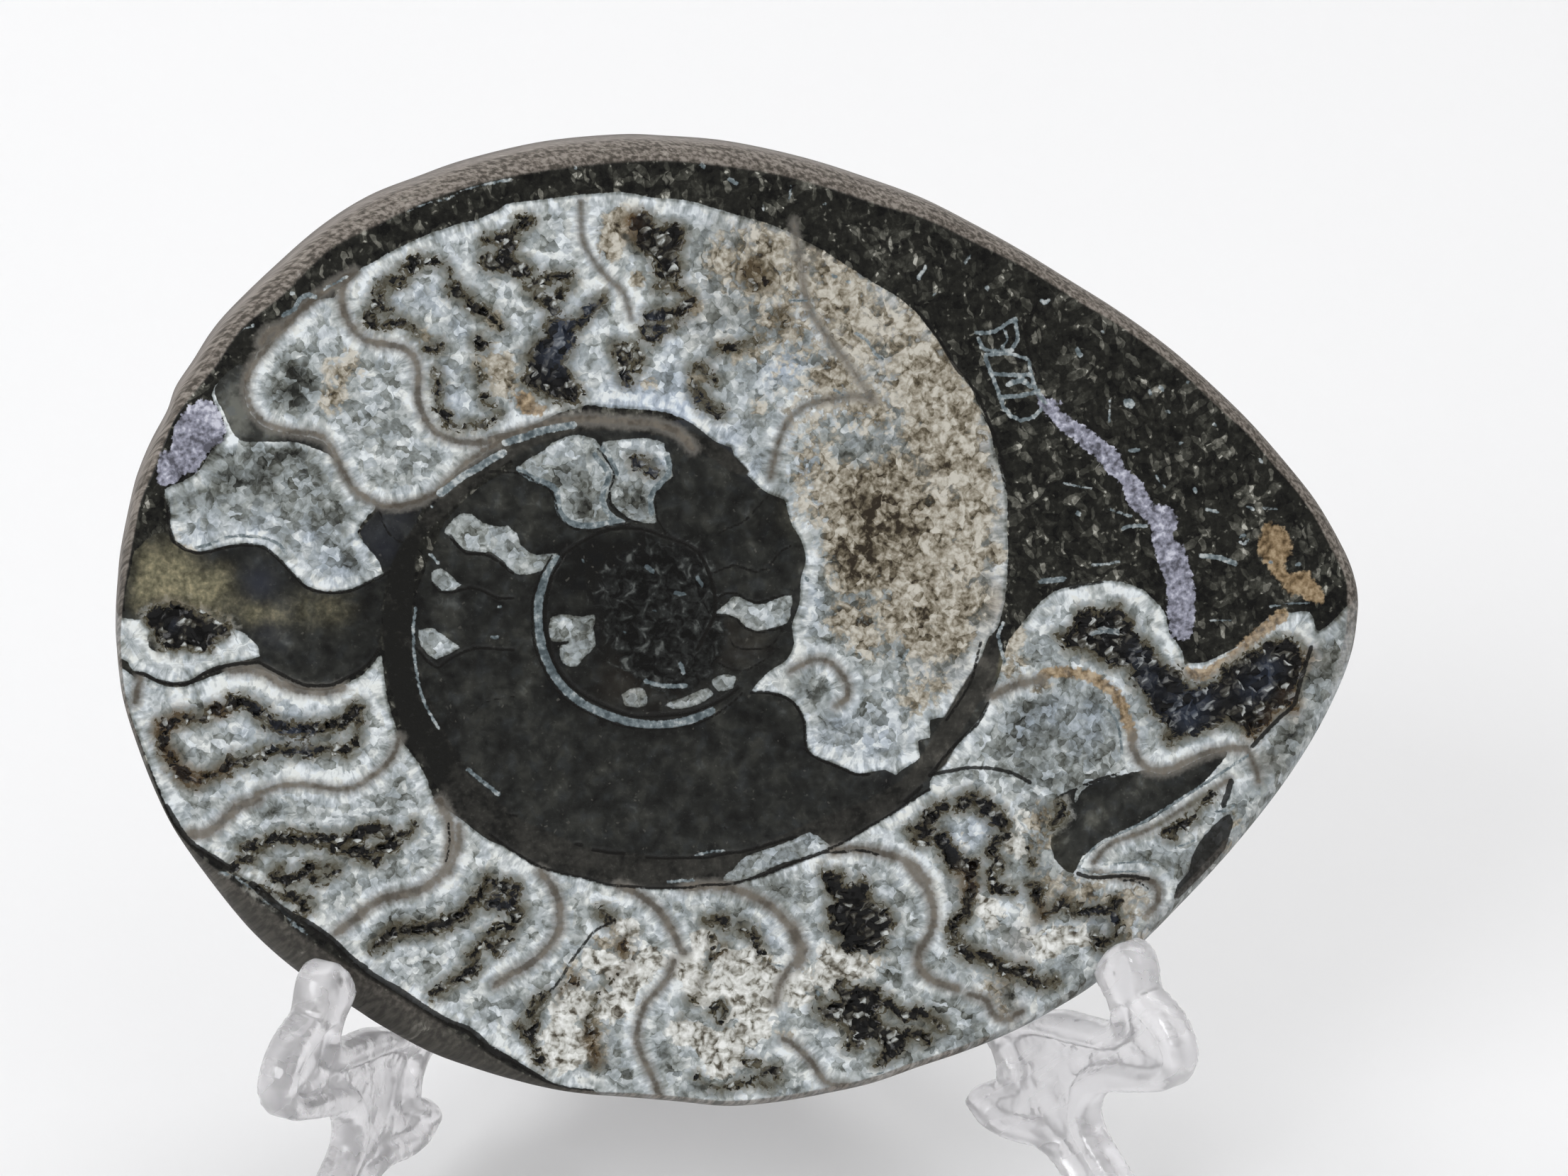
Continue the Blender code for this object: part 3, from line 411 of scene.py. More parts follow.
dark 0.16: -28.8,9.5 -28.5,8.8 -28.1,7.6 -27.2,6.7 -26.7,6.6 |
dark 0.18: -11.2,14 -10.5,13.1 -9.9,12.2 -10,11.5 -10.3,10.6 -10.2,9.5 -9.5,8.8 -8.6,8.2 -7.7,8 |
dark 0.18: -20,12.2 -18.6,12.2 -17,11.9 -16.2,11.3 -15.3,10.9 -14.7,10.2 -14.5,9.1 -14,8.2 -13.2,7.6
-11.8,7.4 -10.2,7.8 -8.6,8 |
dark 0.18: -2,3.8 -1.1,4.2 -0.2,4.5 0.7,4.2 1.6,3.9 2.5,4.2 3,4.9 3.6,5.6 4.4,6 |
dark 0.18: -1.8,1.6 -0.9,2.2 0,2.2 0.9,1.6 1.8,1.4 2.7,1.7 3.9,2 |
dark 0.18: -1.8,0.2 -0.7,0.4 0,0.1 0.5,-0.5 1.6,-1 2.7,-0.9 4.1,-0.5 |
dark 0.18: -0.5,-1.5 -0.2,-2.1 0.9,-2.4 2.7,-2.2 3.4,-1.5 3.8,-0.8 |
dark 0.14: -1.8,-1.9 -1.7,-3.3 -0.9,-3.8 0.5,-4.2 1.6,-3.7 2.7,-3 3.4,-2.4 |
dark 0.2: -14.9,5.4 -15.7,4 -16.4,2.2 -16.5,0.4 -16.4,-1.5 -15.8,-3.3 -15,-4.9 -13.9,-6.2 -12.5,-7.1
-10.9,-7.9 -9.1,-8.6 -7.3,-8.8 -5.5,-8.8 -3.6,-8.6 -1.8,-7.8 -0.5,-6.9 0.5,-6 |
dark 0.36: -14,5.4 -14.9,3.8 -15.3,2 -15.5,0.4 -15.2,-1.5 -14.8,-3 -14,-4.4 -13,-5.5 -11.8,-6.3 -10.2,-7.1
-8.6,-7.7 -7.3,-7.8 -5.5,-7.7 -3.6,-7.5 -2,-6.9 -0.7,-6.2 0.2,-5.5 |
dark 0.32: -13.9,5.6 -12.5,6.5 -10.9,7.3 -9.1,7.6 -7.3,7.4 -5.5,6.7 -4.1,6.2 -3,5.4 -2.3,4 -1.8,2.2
-1.8,0.4 -2.5,-1 -3.2,-2.4 |
dark 0.18: -6.6,9.7 -6.4,8.1 -5.5,7 -4.1,6.3 -2.7,5.6 |
dark 0.16: 2.5,10.1 1.4,8.9 0.5,8 -0.9,7.4 -2,6.7 |
dark 0.27: 1.2,-5.9 2.7,-6 4.1,-6.4 5,-7.2 5.6,-8.4 5.7,-10 5.9,-10.9 6.8,-11.5 8,-12 9.1,-12.5 10,-12.9
11.1,-12.8 |
dark 0.27: 16,-13.1 17.4,-11.3 18.7,-9.9 19.9,-8.8 20.8,-7.1 |
dark 0.23: 20.1,-1.9 19.8,-3.3 19.4,-5.1 18.5,-6.7 17.3,-8.5 |
dark 0.32: 16,-13 17.1,-12.8 19,-12.5 20.5,-12.5 22.4,-12.8 23.5,-13.3 24.4,-13.8 |
dark 0.36: 43,-11.1 44.2,-9.8 45.5,-8.5 46.5,-7.6 46.9,-6 47.4,-4.2 47.8,-2.8 |
dark 0.23: 27.4,2.3 28.7,2.6 30.1,2.8 |
dark 0.18: 35.4,2.6 35.3,1.3 35.5,0.4 |
dark 0.18: 21.3,14 21.4,12.6 21.7,11.5 22,10.4 |
dark 0.23: -20,-17.2 -18.6,-18.3 -17.3,-19.2 -15.9,-20 -14.1,-20.6 -12.3,-21 -10.5,-21.6 -8.6,-21.8
-6.4,-22 -4.1,-22 -2.3,-21.8 -0.7,-21.8 0.5,-21.6 2.7,-21 5,-20 7.3,-19.2 9.1,-18.4 10.7,-17.4 12.7,-16.3
14.1,-15.4 16,-14.2 |
dark 0.32: -13,-18.2 -12.5,-18.3 |
dark 0.32: -11.6,-18.7 -10.9,-18.8 -9.8,-19 -9.1,-19 |
dark 0.27: -7.3,-19.4 -5.5,-19.5 -4.1,-19.5 -2.3,-19.5 -0.7,-19.2 0.5,-19.1 1.8,-18.8 3.6,-18.3 5,-17.9 |
dark 0.2: -18.6,-15.6 -17.7,-15.8 |
dark 0.14: -0.9,-17 -0.7,-17.4 |
dark 0.23: 4.7,-20 6.1,-19.7 7.3,-19.3 8.6,-19.3 10.5,-19.2 11.8,-19.6 |
dark 0.23: -10,-24.7 -11.4,-25.4 -12.3,-26.5 -13.4,-27.9 -14.1,-29.2 -15.1,-30.4 |
dark 0.18: -20,-34.8 -18.6,-35.7 |
dark 0.36: -18.6,-35.9 -17.3,-36.7 -15.9,-37.6 -14.8,-38.3 -13.2,-38.7 -11.6,-38.9 |
dark 0.5: -45.7,-14.5 -44.9,-16 -44,-17.3 -42.9,-18.2 -41.5,-19.1 -40.6,-19.8 |
dark 0.59: -39,-21 -38.1,-21.8 -37,-22.8 -35.8,-23.7 -34.7,-24.2 -33.5,-25.1 -32.4,-26 -31.3,-27.2
-30.1,-28.1 |
dark 0.64: -30.1,-28.3 -28.8,-29.2 -27.4,-30 -25.8,-31.2 -24.5,-32.1 -23.3,-32.8 -21.7,-33.5 -20.6,-34.5
-19.9,-35.4 -18.5,-36 |
dark 0.18: -23.3,-16.3 -23.2,-18.1 -23.5,-19.5 |
dark 0.32: 14,-15.1 14.7,-14.5 15.4,-13.9 |
dark 0.32: 28.5,-21.5 29.9,-21.9 31.7,-21.8 32.9,-21.8 34.5,-22.1 |
dark 0.5: 40.7,-16 41,-15.1 41.3,-14 |
dark 0.27: 14.5,25 15.6,23.6 16.7,22 17.6,20.5 18.5,19.5 19.5,18.2 20.2,16.6 20.8,15.2 21.4,13.6 21.8,12 |
dark 0.23: 23.1,24.5 23.4,22.7 23.8,21.1 24.2,19.8 |
dark 0.18: 32.4,-22.2 33.5,-22.3 34.5,-22.9 |
druse 1.02: -29.2,24.5 -28.5,25.6 -28.1,25.1 |
druse 0.8: -28.5,26.3 -28,27.3 -27.3,27.2 -26.7,27.5 |
druse 0.8: -26.6,28.2 -25.9,28.4 -25.6,28.8 -25,29 |
druse 0.32: -25,29 -24.2,28.9 -23.4,28.6 -23,28.1 -22.9,27.5 -22.4,27 |
druse 0.8: -22.8,26.8 -22.2,26.3 -21.6,26.1 -21.2,25.4 -20.8,25 -20.1,24.8 |
druse 0.55: -19.9,24.6 -19.2,24 -19,23.8 |
druse 0.59: -29.2,24.3 -28.8,23.8 -27.9,23.9 -26.7,24.2 -26.4,23.8 -25.8,23.5 -25.6,23.1 |
druse 0.77: -24.7,22.2 -24.1,22 -23.8,22.2 |
druse 0.5: -24.1,20.2 -23.9,19.3 -24,18.1 -23.9,17.2 -23.4,16.8 -22.9,15.9 -22.2,15.6 -21.3,15.9
-20.4,15.9 -19.7,16.2 -19.2,16.8 |
druse 0.82: -20.7,22.6 -20.5,22.3 |
druse 0.5: -20.8,20.4 -20.6,19.5 |
druse 0.41: -20.2,18.1 -20.1,17.7 |
druse 0.8: -20,30.6 -19.3,30.6 -18.4,30.8 -17.7,31.3 -17.4,31.8 -16.8,32.1 |
druse 1.02: -18,30.5 -18.6,29.7 -19.3,28.6 |
druse 1.14: -20,29 -19.3,28.8 -18.6,28.8 -18,28.6 -17,28.2 |
druse 0.73: -16.6,26.9 -15.7,27.2 -14.8,27.8 -13.6,27.6 |
druse 0.68: -16.1,26.3 -15.6,25.8 -14.7,25.3 |
druse 0.5: -13.5,27.5 -13.8,26.9 -14.2,26.3 |
druse 0.64: -6.4,26.9 -5.5,27.1 |
druse 1.05: -7.2,24.4 -6.4,24.6 -5.2,24.6 -4.4,25.3 -4,25.6 |
druse 0.59: -7.5,23.8 -6.4,23.6 -5.2,23.8 |
druse 0.45: -5,26.8 -4.1,26.3 -3.6,25.6 |
druse 0.77: -9.8,22.2 -9.2,21.9 -8.6,22 -8.8,21.3 |
druse 0.77: -9.8,21.8 -9.5,21.1 -9.1,20.5 -9.2,19.8 -8.9,19.5 |
druse 0.5: -8.6,22.2 -8,21.8 -7.8,21.1 -8.3,20.4 |
druse 0.45: -7.5,23.1 -6.8,22.7 -6.4,23.1 |
druse 0.36: -1.8,21.8 -0.7,22 0.5,22.2 1.6,22.6 |
druse 0.59: -3.6,20.3 -3,20.5 -2.5,19.8 -1.9,19.5 |
druse 0.77: -3.5,19 -3.1,18.1 -2.3,17.2 -1.5,16.9 |
druse 0.36: 0.6,28.1 1.5,26.9 2.2,27.3 1.8,28.2 1.1,28.6 |
druse 0.32: 3.4,24.7 3.8,24.4 3.6,23.9 |
druse 0.77: -45.8,-7.8 -44.9,-7.5 -43.8,-7.4 -42.6,-7.2 -42,-6.8 -41,-6.6 -40.4,-6.2 |
druse 1.05: -40.4,-6.2 -39.5,-6.1 -38.8,-6.5 -38.1,-7.1 -37.4,-7.8 -36.3,-8.3 -34.7,-8.4 -33.1,-8.3
-32,-7.9 -31,-7.4 -30.5,-6.8 |
druse 0.59: -30.5,-6.7 -30.4,-7.8 -30.5,-9 -30.8,-9.9 -31.3,-10.3 |
druse 0.77: -31.3,-10.3 -32.4,-10.1 -33.5,-10 -34.7,-10.2 -35.8,-10.1 -37.2,-10.1 -38.1,-10.3 -39.2,-10.8
-40.4,-11.1 |
druse 0.91: -40.4,-11 -41.3,-11.7 -42.2,-12.1 -43.3,-12.5 -44.2,-12.1 -44.9,-11.2 -45.1,-10.5 -45.8,-9.6
-46,-8.5 -45.7,-7.8 |
druse 0.91: -39.5,-18.1 -38.1,-17.8 -36.7,-17.2 -35.1,-17.4 -33.5,-17.5 -32.4,-17.4 |
druse 1: -32.4,-18.1 -31.3,-17.4 -30.4,-17 -29.5,-16.7 -28.3,-17 -27.6,-17.6 -28.1,-18.1 -29.5,-18.5
-31.3,-18.4 -32.2,-18 |
druse 0.82: -31,-18.3 -30.1,-18.9 -29,-19.1 |
druse 0.5: -27.6,-17.4 -26.7,-17.2 -26,-16.4 |
druse 0.68: -36.7,-19.7 -37.2,-20.4 -36.3,-20.8 -35.4,-20.6 -34.7,-19.7 -33.5,-19.7 -32.2,-19.7
-32.9,-20.4 -34,-20.6 |
druse 0.77: -39,-19 -39.9,-18.9 -40.4,-19.5 |
druse 0.68: -38.8,-21.2 -37.6,-21.7 -36,-22 -34.7,-22.4 |
druse 0.45: -37.6,-20.7 -36.7,-20.4 |
druse 0.77: -35.6,-22.4 -34.7,-22.9 -35.1,-23.3 |
druse 0.91: -29.2,-26.3 -28.5,-25.8 -27.6,-25.1 |
druse 1: -27,-25.1 -25.8,-25.1 -24.7,-24.9 -23.8,-24.7 -22.9,-24.2 -22,-23.9 -21.7,-23.1 -21,-22.6
-20.4,-22 -20.1,-21 -19.5,-21.5 -18,-21.7 |
druse 0.91: -20,-22.1 -19.1,-21.5 -18.2,-21.8 -18,-22.6 -18.6,-23.1 -17.7,-23.8 |
druse 0.77: -20,-23.1 -18.9,-23.1 -17.5,-23.5 |
druse 0.77: -17.5,-23.8 -18,-24.7 -18.6,-25.6 -19.5,-26.7 -20,-26.5 |
druse 0.59: -21.7,-27.4 -21,-26.7 -20.1,-25.6 -19,-25.1 -18,-24.9 |
druse 0.77: -24.5,-30.4 -23.5,-29.7 -22.4,-29 -21.5,-28.5 -21,-27.9 |
druse 0.77: -15.5,-30.8 -16.1,-31.5 -16.6,-32.2 -16.1,-33.3 -16.8,-34 |
druse 0.59: -17.5,-33.3 -16.6,-34.5 -16.1,-35.8 -15.5,-36.7 |
druse 0.45: -8.2,-25.4 -8.9,-26 -9.3,-26.7 -8.6,-27.4 -8.2,-28.1 -8.6,-28.8 -9.8,-29.2 -10.2,-29.7 |
druse 0.68: -11.1,-30.8 -11.6,-32 -12,-32.9 -11.8,-34 -12.5,-34.5 -11.6,-35.4 -11.4,-36.5 |
druse 0.5: -13.6,-29.7 -13,-29.9 -13.2,-29.5 |
druse 0.36: -14.5,-31.5 -14.1,-30.4 |
druse 0.68: -2,-26.3 -1.8,-27.6 -2.3,-28.8 -2.5,-29.9 -3,-31.3 |
druse 0.5: -3.6,-31.4 -2.3,-31.5 |
druse 0.91: 0.7,-25.6 1.6,-26.3 2,-27.4 2,-28.1 |
druse 0.36: -1.4,-27.6 -0.7,-27 -0.5,-28.3 -0.9,-29 |
druse 0.68: -1.8,-32.4 -1.1,-31.7 -0.7,-32.9 -1.1,-33.3 |
druse 0.45: -4.1,-33.1 -3.2,-34 -3.6,-34.5 |
druse 0.45: 0.1,-29.2 0.3,-29.9 |
druse 0.55: -0.2,-35.8 0.1,-35.9 |
druse 0.36: 0.2,-34.5 1.4,-34.3 |
druse 0.5: -0.9,-36.7 -0.2,-36.4 -0.7,-37 |
druse 0.5: 0.9,-36.7 1.8,-37 |
druse 0.68: 2.5,-37.9 3.4,-37.4 3.6,-38.1 |
druse 0.55: 2.3,-38.5 3,-38.8 |
druse 0.32: -3,-37.9 -2.5,-38.3 -1.8,-38.8 -0.5,-38.9 0.5,-38.5 1.8,-38.1 |
druse 0.77: 6.6,-31 7,-31.5 |
druse 0.55: -2.3,-24.9 -1.1,-24.7 -0.7,-25.4 |
druse 0.91: -10.9,-24 -10.2,-24.5 |
druse 0.59: 14.3,-17.4 14.8,-17.6 15.5,-16.7 16,-16 |
druse 0.68: 15,-18.5 16,-18.4 |
druse 0.68: 12.7,-32 14.1,-33.3 15,-32.9 16,-33.3 |
druse 0.91: 16.5,-15.6 17.2,-15.7 |
druse 1.14: 15.4,-18.3 16,-17.2 16.3,-16.3 |
druse 1.25: 18.8,-15.4 19.7,-15.1 20.8,-16 21.5,-16.5 22.4,-17.4 |
druse 1: 22.6,-18.1 21.5,-18.9 21.3,-19.7 22,-20.6 21.3,-21.5 21.7,-22.6 22.9,-22.9 |
druse 1.36: 17,-18.3 17.6,-19.2 18.1,-20.4 18.8,-20.6 19.5,-20.8 |
druse 1: 19.5,-21.3 19.5,-22.4 19.5,-23.5 19.2,-24.7 18.3,-25.4 18.3,-26.7 |
druse 1.14: 19,-27.6 19.7,-28.1 20.8,-28.5 22.2,-29.2 23.1,-29.7 24.2,-29.7 |
druse 0.77: 23.8,-29.9 24.7,-30.4 25.8,-30.9 26.7,-30.6 |
druse 0.91: 24.5,-22.4 25.4,-22.6 24.9,-23.3 25.4,-24.2 25.4,-24.9 26.5,-24.7 27.4,-24 28.5,-24.9
29.9,-24.7 31.3,-24.5 |
druse 0.91: 31.7,-24 31.8,-25.4 32,-26.7 31.3,-27.4 30.4,-27.6 |
druse 0.77: 30.4,-27.6 29.9,-26.7 30.8,-27.9 |
druse 0.68: 26.3,-17.4 27.1,-16.5 26.7,-15.8 |
druse 0.45: 24.2,-19.2 24.5,-20.1 24.6,-20.8 |
druse 0.82: 14,-33.1 15.4,-33.1 16.5,-33.5 17.2,-34.2 |
druse 0.91: 14.2,-34.9 15.1,-34.7 16,-35.1 |
druse 0.68: 35.8,-18.1 37.2,-17.6 38.1,-17 38.8,-15.8 39.7,-15.1 |
druse 0.59: 36.7,-17.9 36.3,-18.5 |
pale 0.27: -43.1,6.3 -42.2,6.5 -40.4,7.2 -39,7.2 -37.6,7 -36.5,6.5 -36,5.8 |
pale 0.59: -23.8,10.5 -23.1,11 -22.2,11.7 -21,12.4 -19.9,13.1 -18.8,13.7 |
pale 0.23: -25.8,1.3 -26,-0.5 -25.9,-2.8 -25.5,-5.3 -24.8,-7.1 -24,-8.5 |
pale 0.23: -24.6,5.6 -24,4.9 |
pale 0.32: -21.7,-11.9 -20.4,-13 -19.2,-14 |
pale 0.18: -24.5,9.5 -24.4,9.4 |
pale 0.59: -18.6,14.5 -17,15 -15.5,15.5 -13.2,15.9 |
pale 0.5: -17.5,12.4 -16.6,11.7 -15.3,11.2 -14.5,10.6 -14.4,9.3 -13.9,8.4 -13,7.9 -11.6,7.8 -10.5,8
-9.3,8.1 |
pale 0.41: -10.9,14 -10.1,12.9 -9.7,12 |
pale 0.45: -11.5,13.5 -10.6,12.4 -10.3,11.8 -10.7,10.8 -10.9,9.9 -10.6,9.1 -10,8.4 |
pale 0.45: -5.7,13.5 -5.5,12 -6.4,11 -7,10.1 -6.9,8.8 |
pale 0.68: -14.5,5.1 -15.2,4.2 -15.7,2.9 -16,1.6 -16,0.4 -15.9,-1 -15.6,-2.4 -15.1,-3.6 -14.4,-4.8
-13.5,-5.8 -12.4,-6.7 -11,-7.4 -9.7,-7.9 -8.2,-8.3 -6.4,-8.5 -4.5,-8.3 -3.2,-7.9 -2,-7.4 |
pale 0.18: -9.2,-0.8 -8.9,-0.9 |
pale 0.36: -4.5,-3.5 -4.3,-4.2 |
pale 0.18: -6.7,0.9 -6.5,0.8 |
pale 0.32: -5,2.3 -4.3,2.2 |
pale 0.36: -7.3,4.5 -6.8,4 |
pale 0.32: -3.2,3.5 -2.8,2.9 |
pale 0.18: -12.5,5 -12.4,4.9 |
pale 0.18: -19.2,1.3 -19,1.3 |
pale 0.23: -19.8,-1.1 -19.3,-1.2 |
pale 0.36: -7.3,-4.9 -5.9,-5.3 -4.1,-5.3 |
pale 0.32: 5.6,3.4 5.8,3.2 |
pale 0.23: 13.2,-4 14.1,-2.6 |
pale 0.32: 12,-5.8 12.7,-5.9 |
pale 0.18: -19.7,-1.2 -19.2,-1.1 |
pale 0.18: -19.1,1.4 -19,1.3 |
pale 0.16: -29.9,31.2 -28.3,31.9 -26.7,32.7 -24.9,33.4 -23.5,33.7 -22.2,34.3 -21.3,34.6 -19.9,35 -18,35.4 |
pale 0.18: -39.3,23.5 -38.3,23.9 |
pale 0.36: -36,24.7 -35.1,25.2 -34.7,26 -34,26.3 -33.5,26.1 |
pale 0.2: -32.9,26.7 -31,27.7 |
pale 0.27: -35.4,26.4 -35.2,26.4 |
pale 0.2: -39.3,24.9 -39.1,25.1 |
pale 0.18: -34.8,27.7 -34.6,27.9 |
pale 0.2: -19.8,34.9 -19.1,35.2 -18,35.3 |
pale 0.32: -13.2,36.4 -13,36.3 |
pale 0.32: -3.1,36.7 -2.8,36.4 |
pale 0.32: -0.8,35.4 -0.2,35.1 |
pale 0.16: 4.2,35 4,33.8 |
pale 0.18: 1.9,33.4 2,33 |
pale 0.16: 6.8,33.5 7,33.5 |
pale 0.27: 9.5,23.2 10.5,22.5 11.1,21.5 11.7,21.1 |
pale 0.18: 7.7,18.7 8.5,18.2 |
pale 0.18: 4.1,25.8 5.5,25.8 |
pale 0.36: 7.6,27.8 7.8,27.7 |
pale 0.32: 8.8,27.3 8.9,27.3 |
pale 0.23: 14.5,27.7 15.1,28.4 |
pale 0.32: 24.6,25.8 24.9,25.6 25.2,25.8 |
pale 0.27: 20.1,26.9 20.2,26.7 |
pale 0.41: 27.6,21.8 27.9,21.4 |
pale 0.77: 31.9,17.5 32.1,17.4 |
pale 0.23: 18.3,28.8 18.7,29.4 |
pale 0.27: 14.5,27.5 15.1,28.5 |
pale 0.27: 34.5,18.8 34.8,18.5 |
pale 0.23: 29.7,23.3 29.8,23.2 |
pale 0.18: 15.7,26.2 15.9,26.4 |
pale 0.23: 36.8,19.2 37,19.1 |
pale 0.23: 35.1,16.8 35.4,16.7 |
pale 0.23: 39.1,15.7 39.3,15.6 |
pale 0.18: 36.2,14.1 36.5,14.2 |
pale 0.32: 32.2,13.6 32.9,13.6 |
pale 0.18: 43.1,12.7 43.2,12.6 |
pale 0.27: 33.7,18.5 33.8,18.1 |
pale 0.16: 30.4,17.7 30.4,15.9 |
pale 0.32: 19.3,23.2 20.8,23.3 22,24.1 22.5,24.3 22.6,23.6 22.7,22.6 22.2,21.8 20.8,21.7 19.8,22 19.5,22.7 |
pale 0.2: 21.7,23.3 21.9,22.6 21.4,22 |
pale 0.27: 20.1,21.4 22,21.5 23.5,21.1 |
pale 0.32: 20.5,19.9 22.2,19.8 23.8,19.8 |
pale 0.36: 21.3,18 23.1,18.1 24.5,18.5 |
pale 0.3: 21.6,17.3 22.2,16.5 23.1,16.1 24,16.3 24.8,17 |
pale 0.32: 20.1,21.2 20.6,19.9 21.3,18.2 21.7,17 |
pale 0.32: 23.7,21 23.9,19.8 24.3,18.5 25.1,17.5 |
pale 0.41: 22,19 23.1,19.4 23.8,18.9 |
pale 0.41: 38.3,4.9 39.9,4.7 41.2,4.2 |
pale 0.3: 31.7,7.2 32.4,7.4 33.6,7.4 |
pale 0.16: 26.7,11 27.8,10.7 29,10.5 |
pale 0.18: 30.5,8.8 31.7,8.4 32.4,8.2 |
pale 0.2: 29.2,4.2 30.5,4.3 31.5,4.5 |
pale 0.14: 39.2,-0.5 41,-0.5 |
pale 0.2: 41.5,6.4 41.9,6.6 42.2,6.2 41.9,5.8 41.5,6 |
pale 0.34: 46.4,4.1 46.6,4.1 |
pale 0.18: 44.2,0.6 45.5,0.8 47.6,0.9 |
pale 0.45: 25,2.9 26,3 26.9,3.1 |
pale 0.36: 27.9,8.5 28,8.4 |
pale 0.45: 29.4,-1.5 30.3,-1.2 31.5,-1.4 |
pale 0.18: 34.4,11.5 34.9,10.8 35.1,10.6 |
pale 0.27: 44.1,4.3 44.2,4.3 |
pale 0.32: 37.6,10.4 37.7,10.2 |
pale 0.27: 38.7,8.7 39.6,8.5 |
pale 0.2: 42.1,8.9 42.6,8.7 |
pale 0.16: 43.4,8.8 44.6,8.7 |
pale 0.23: 43,12.8 43.2,12.6 |
pale 0.23: 30.1,-7.4 31,-8 31.6,-9 31.9,-10.3 32,-11.7 |
pale 0.27: 21.9,-0.5 21.5,-1.5 21.7,-2.4 22.1,-3.7 |
pale 0.2: -3.2,-19.3 -1.8,-19 -0.9,-19 |
pale 0.23: -5.5,-21.5 -4.3,-21.4 -3.4,-21.4 |
pale 0.2: 3,-28.5 4.1,-28.8 |
pale 0.3: 6.9,-31 7,-31.2 |
pale 0.16: 28.5,-20.8 29.9,-21.6 31.3,-21.5 32.9,-21.4 34.5,-21.6 |
pale 0.16: 30.4,-20.8 32.2,-20.7 34,-20.6 35.4,-21 |
pale 0.18: 36.7,-19.5 37.6,-19.2 38.3,-18.9 |
pale 0.23: 40.1,-16.5 41.3,-16.4 41.6,-16 |
pale 0.18: -40.6,-20.1 -39.5,-21 -38.5,-21.7 |
pale 0.27: -38.1,-22.3 -36.7,-23.1 -35.8,-24.2 -34.7,-25.1 |
pale 0.32: -41.6,-20 -41,-20.1 |
pale 0.18: -36.5,-25.1 -36.6,-24.8 |
pale 0.2: 11,-38.1 13.2,-37.9 16,-37.4 |
pale 0.25: 28.5,-21 30.2,-19.1 33.9,-17.3 37.7,-15 41,-12.9 42.7,-11.8 |
ochre 0.91: 25.3,-4.8 26.5,-4.6 27.8,-4.7 29,-4.9 30.1,-5.5 31.1,-6.2 31.8,-7.1 32.2,-8.3 32.7,-9.4
32.9,-10.1 |
ochre 1.05: 37.4,-4.9 38.7,-5 40.1,-4.3 41.2,-3.6 42.1,-2.9 43,-1.9 44.2,-0.9 45.2,-0.2
"""

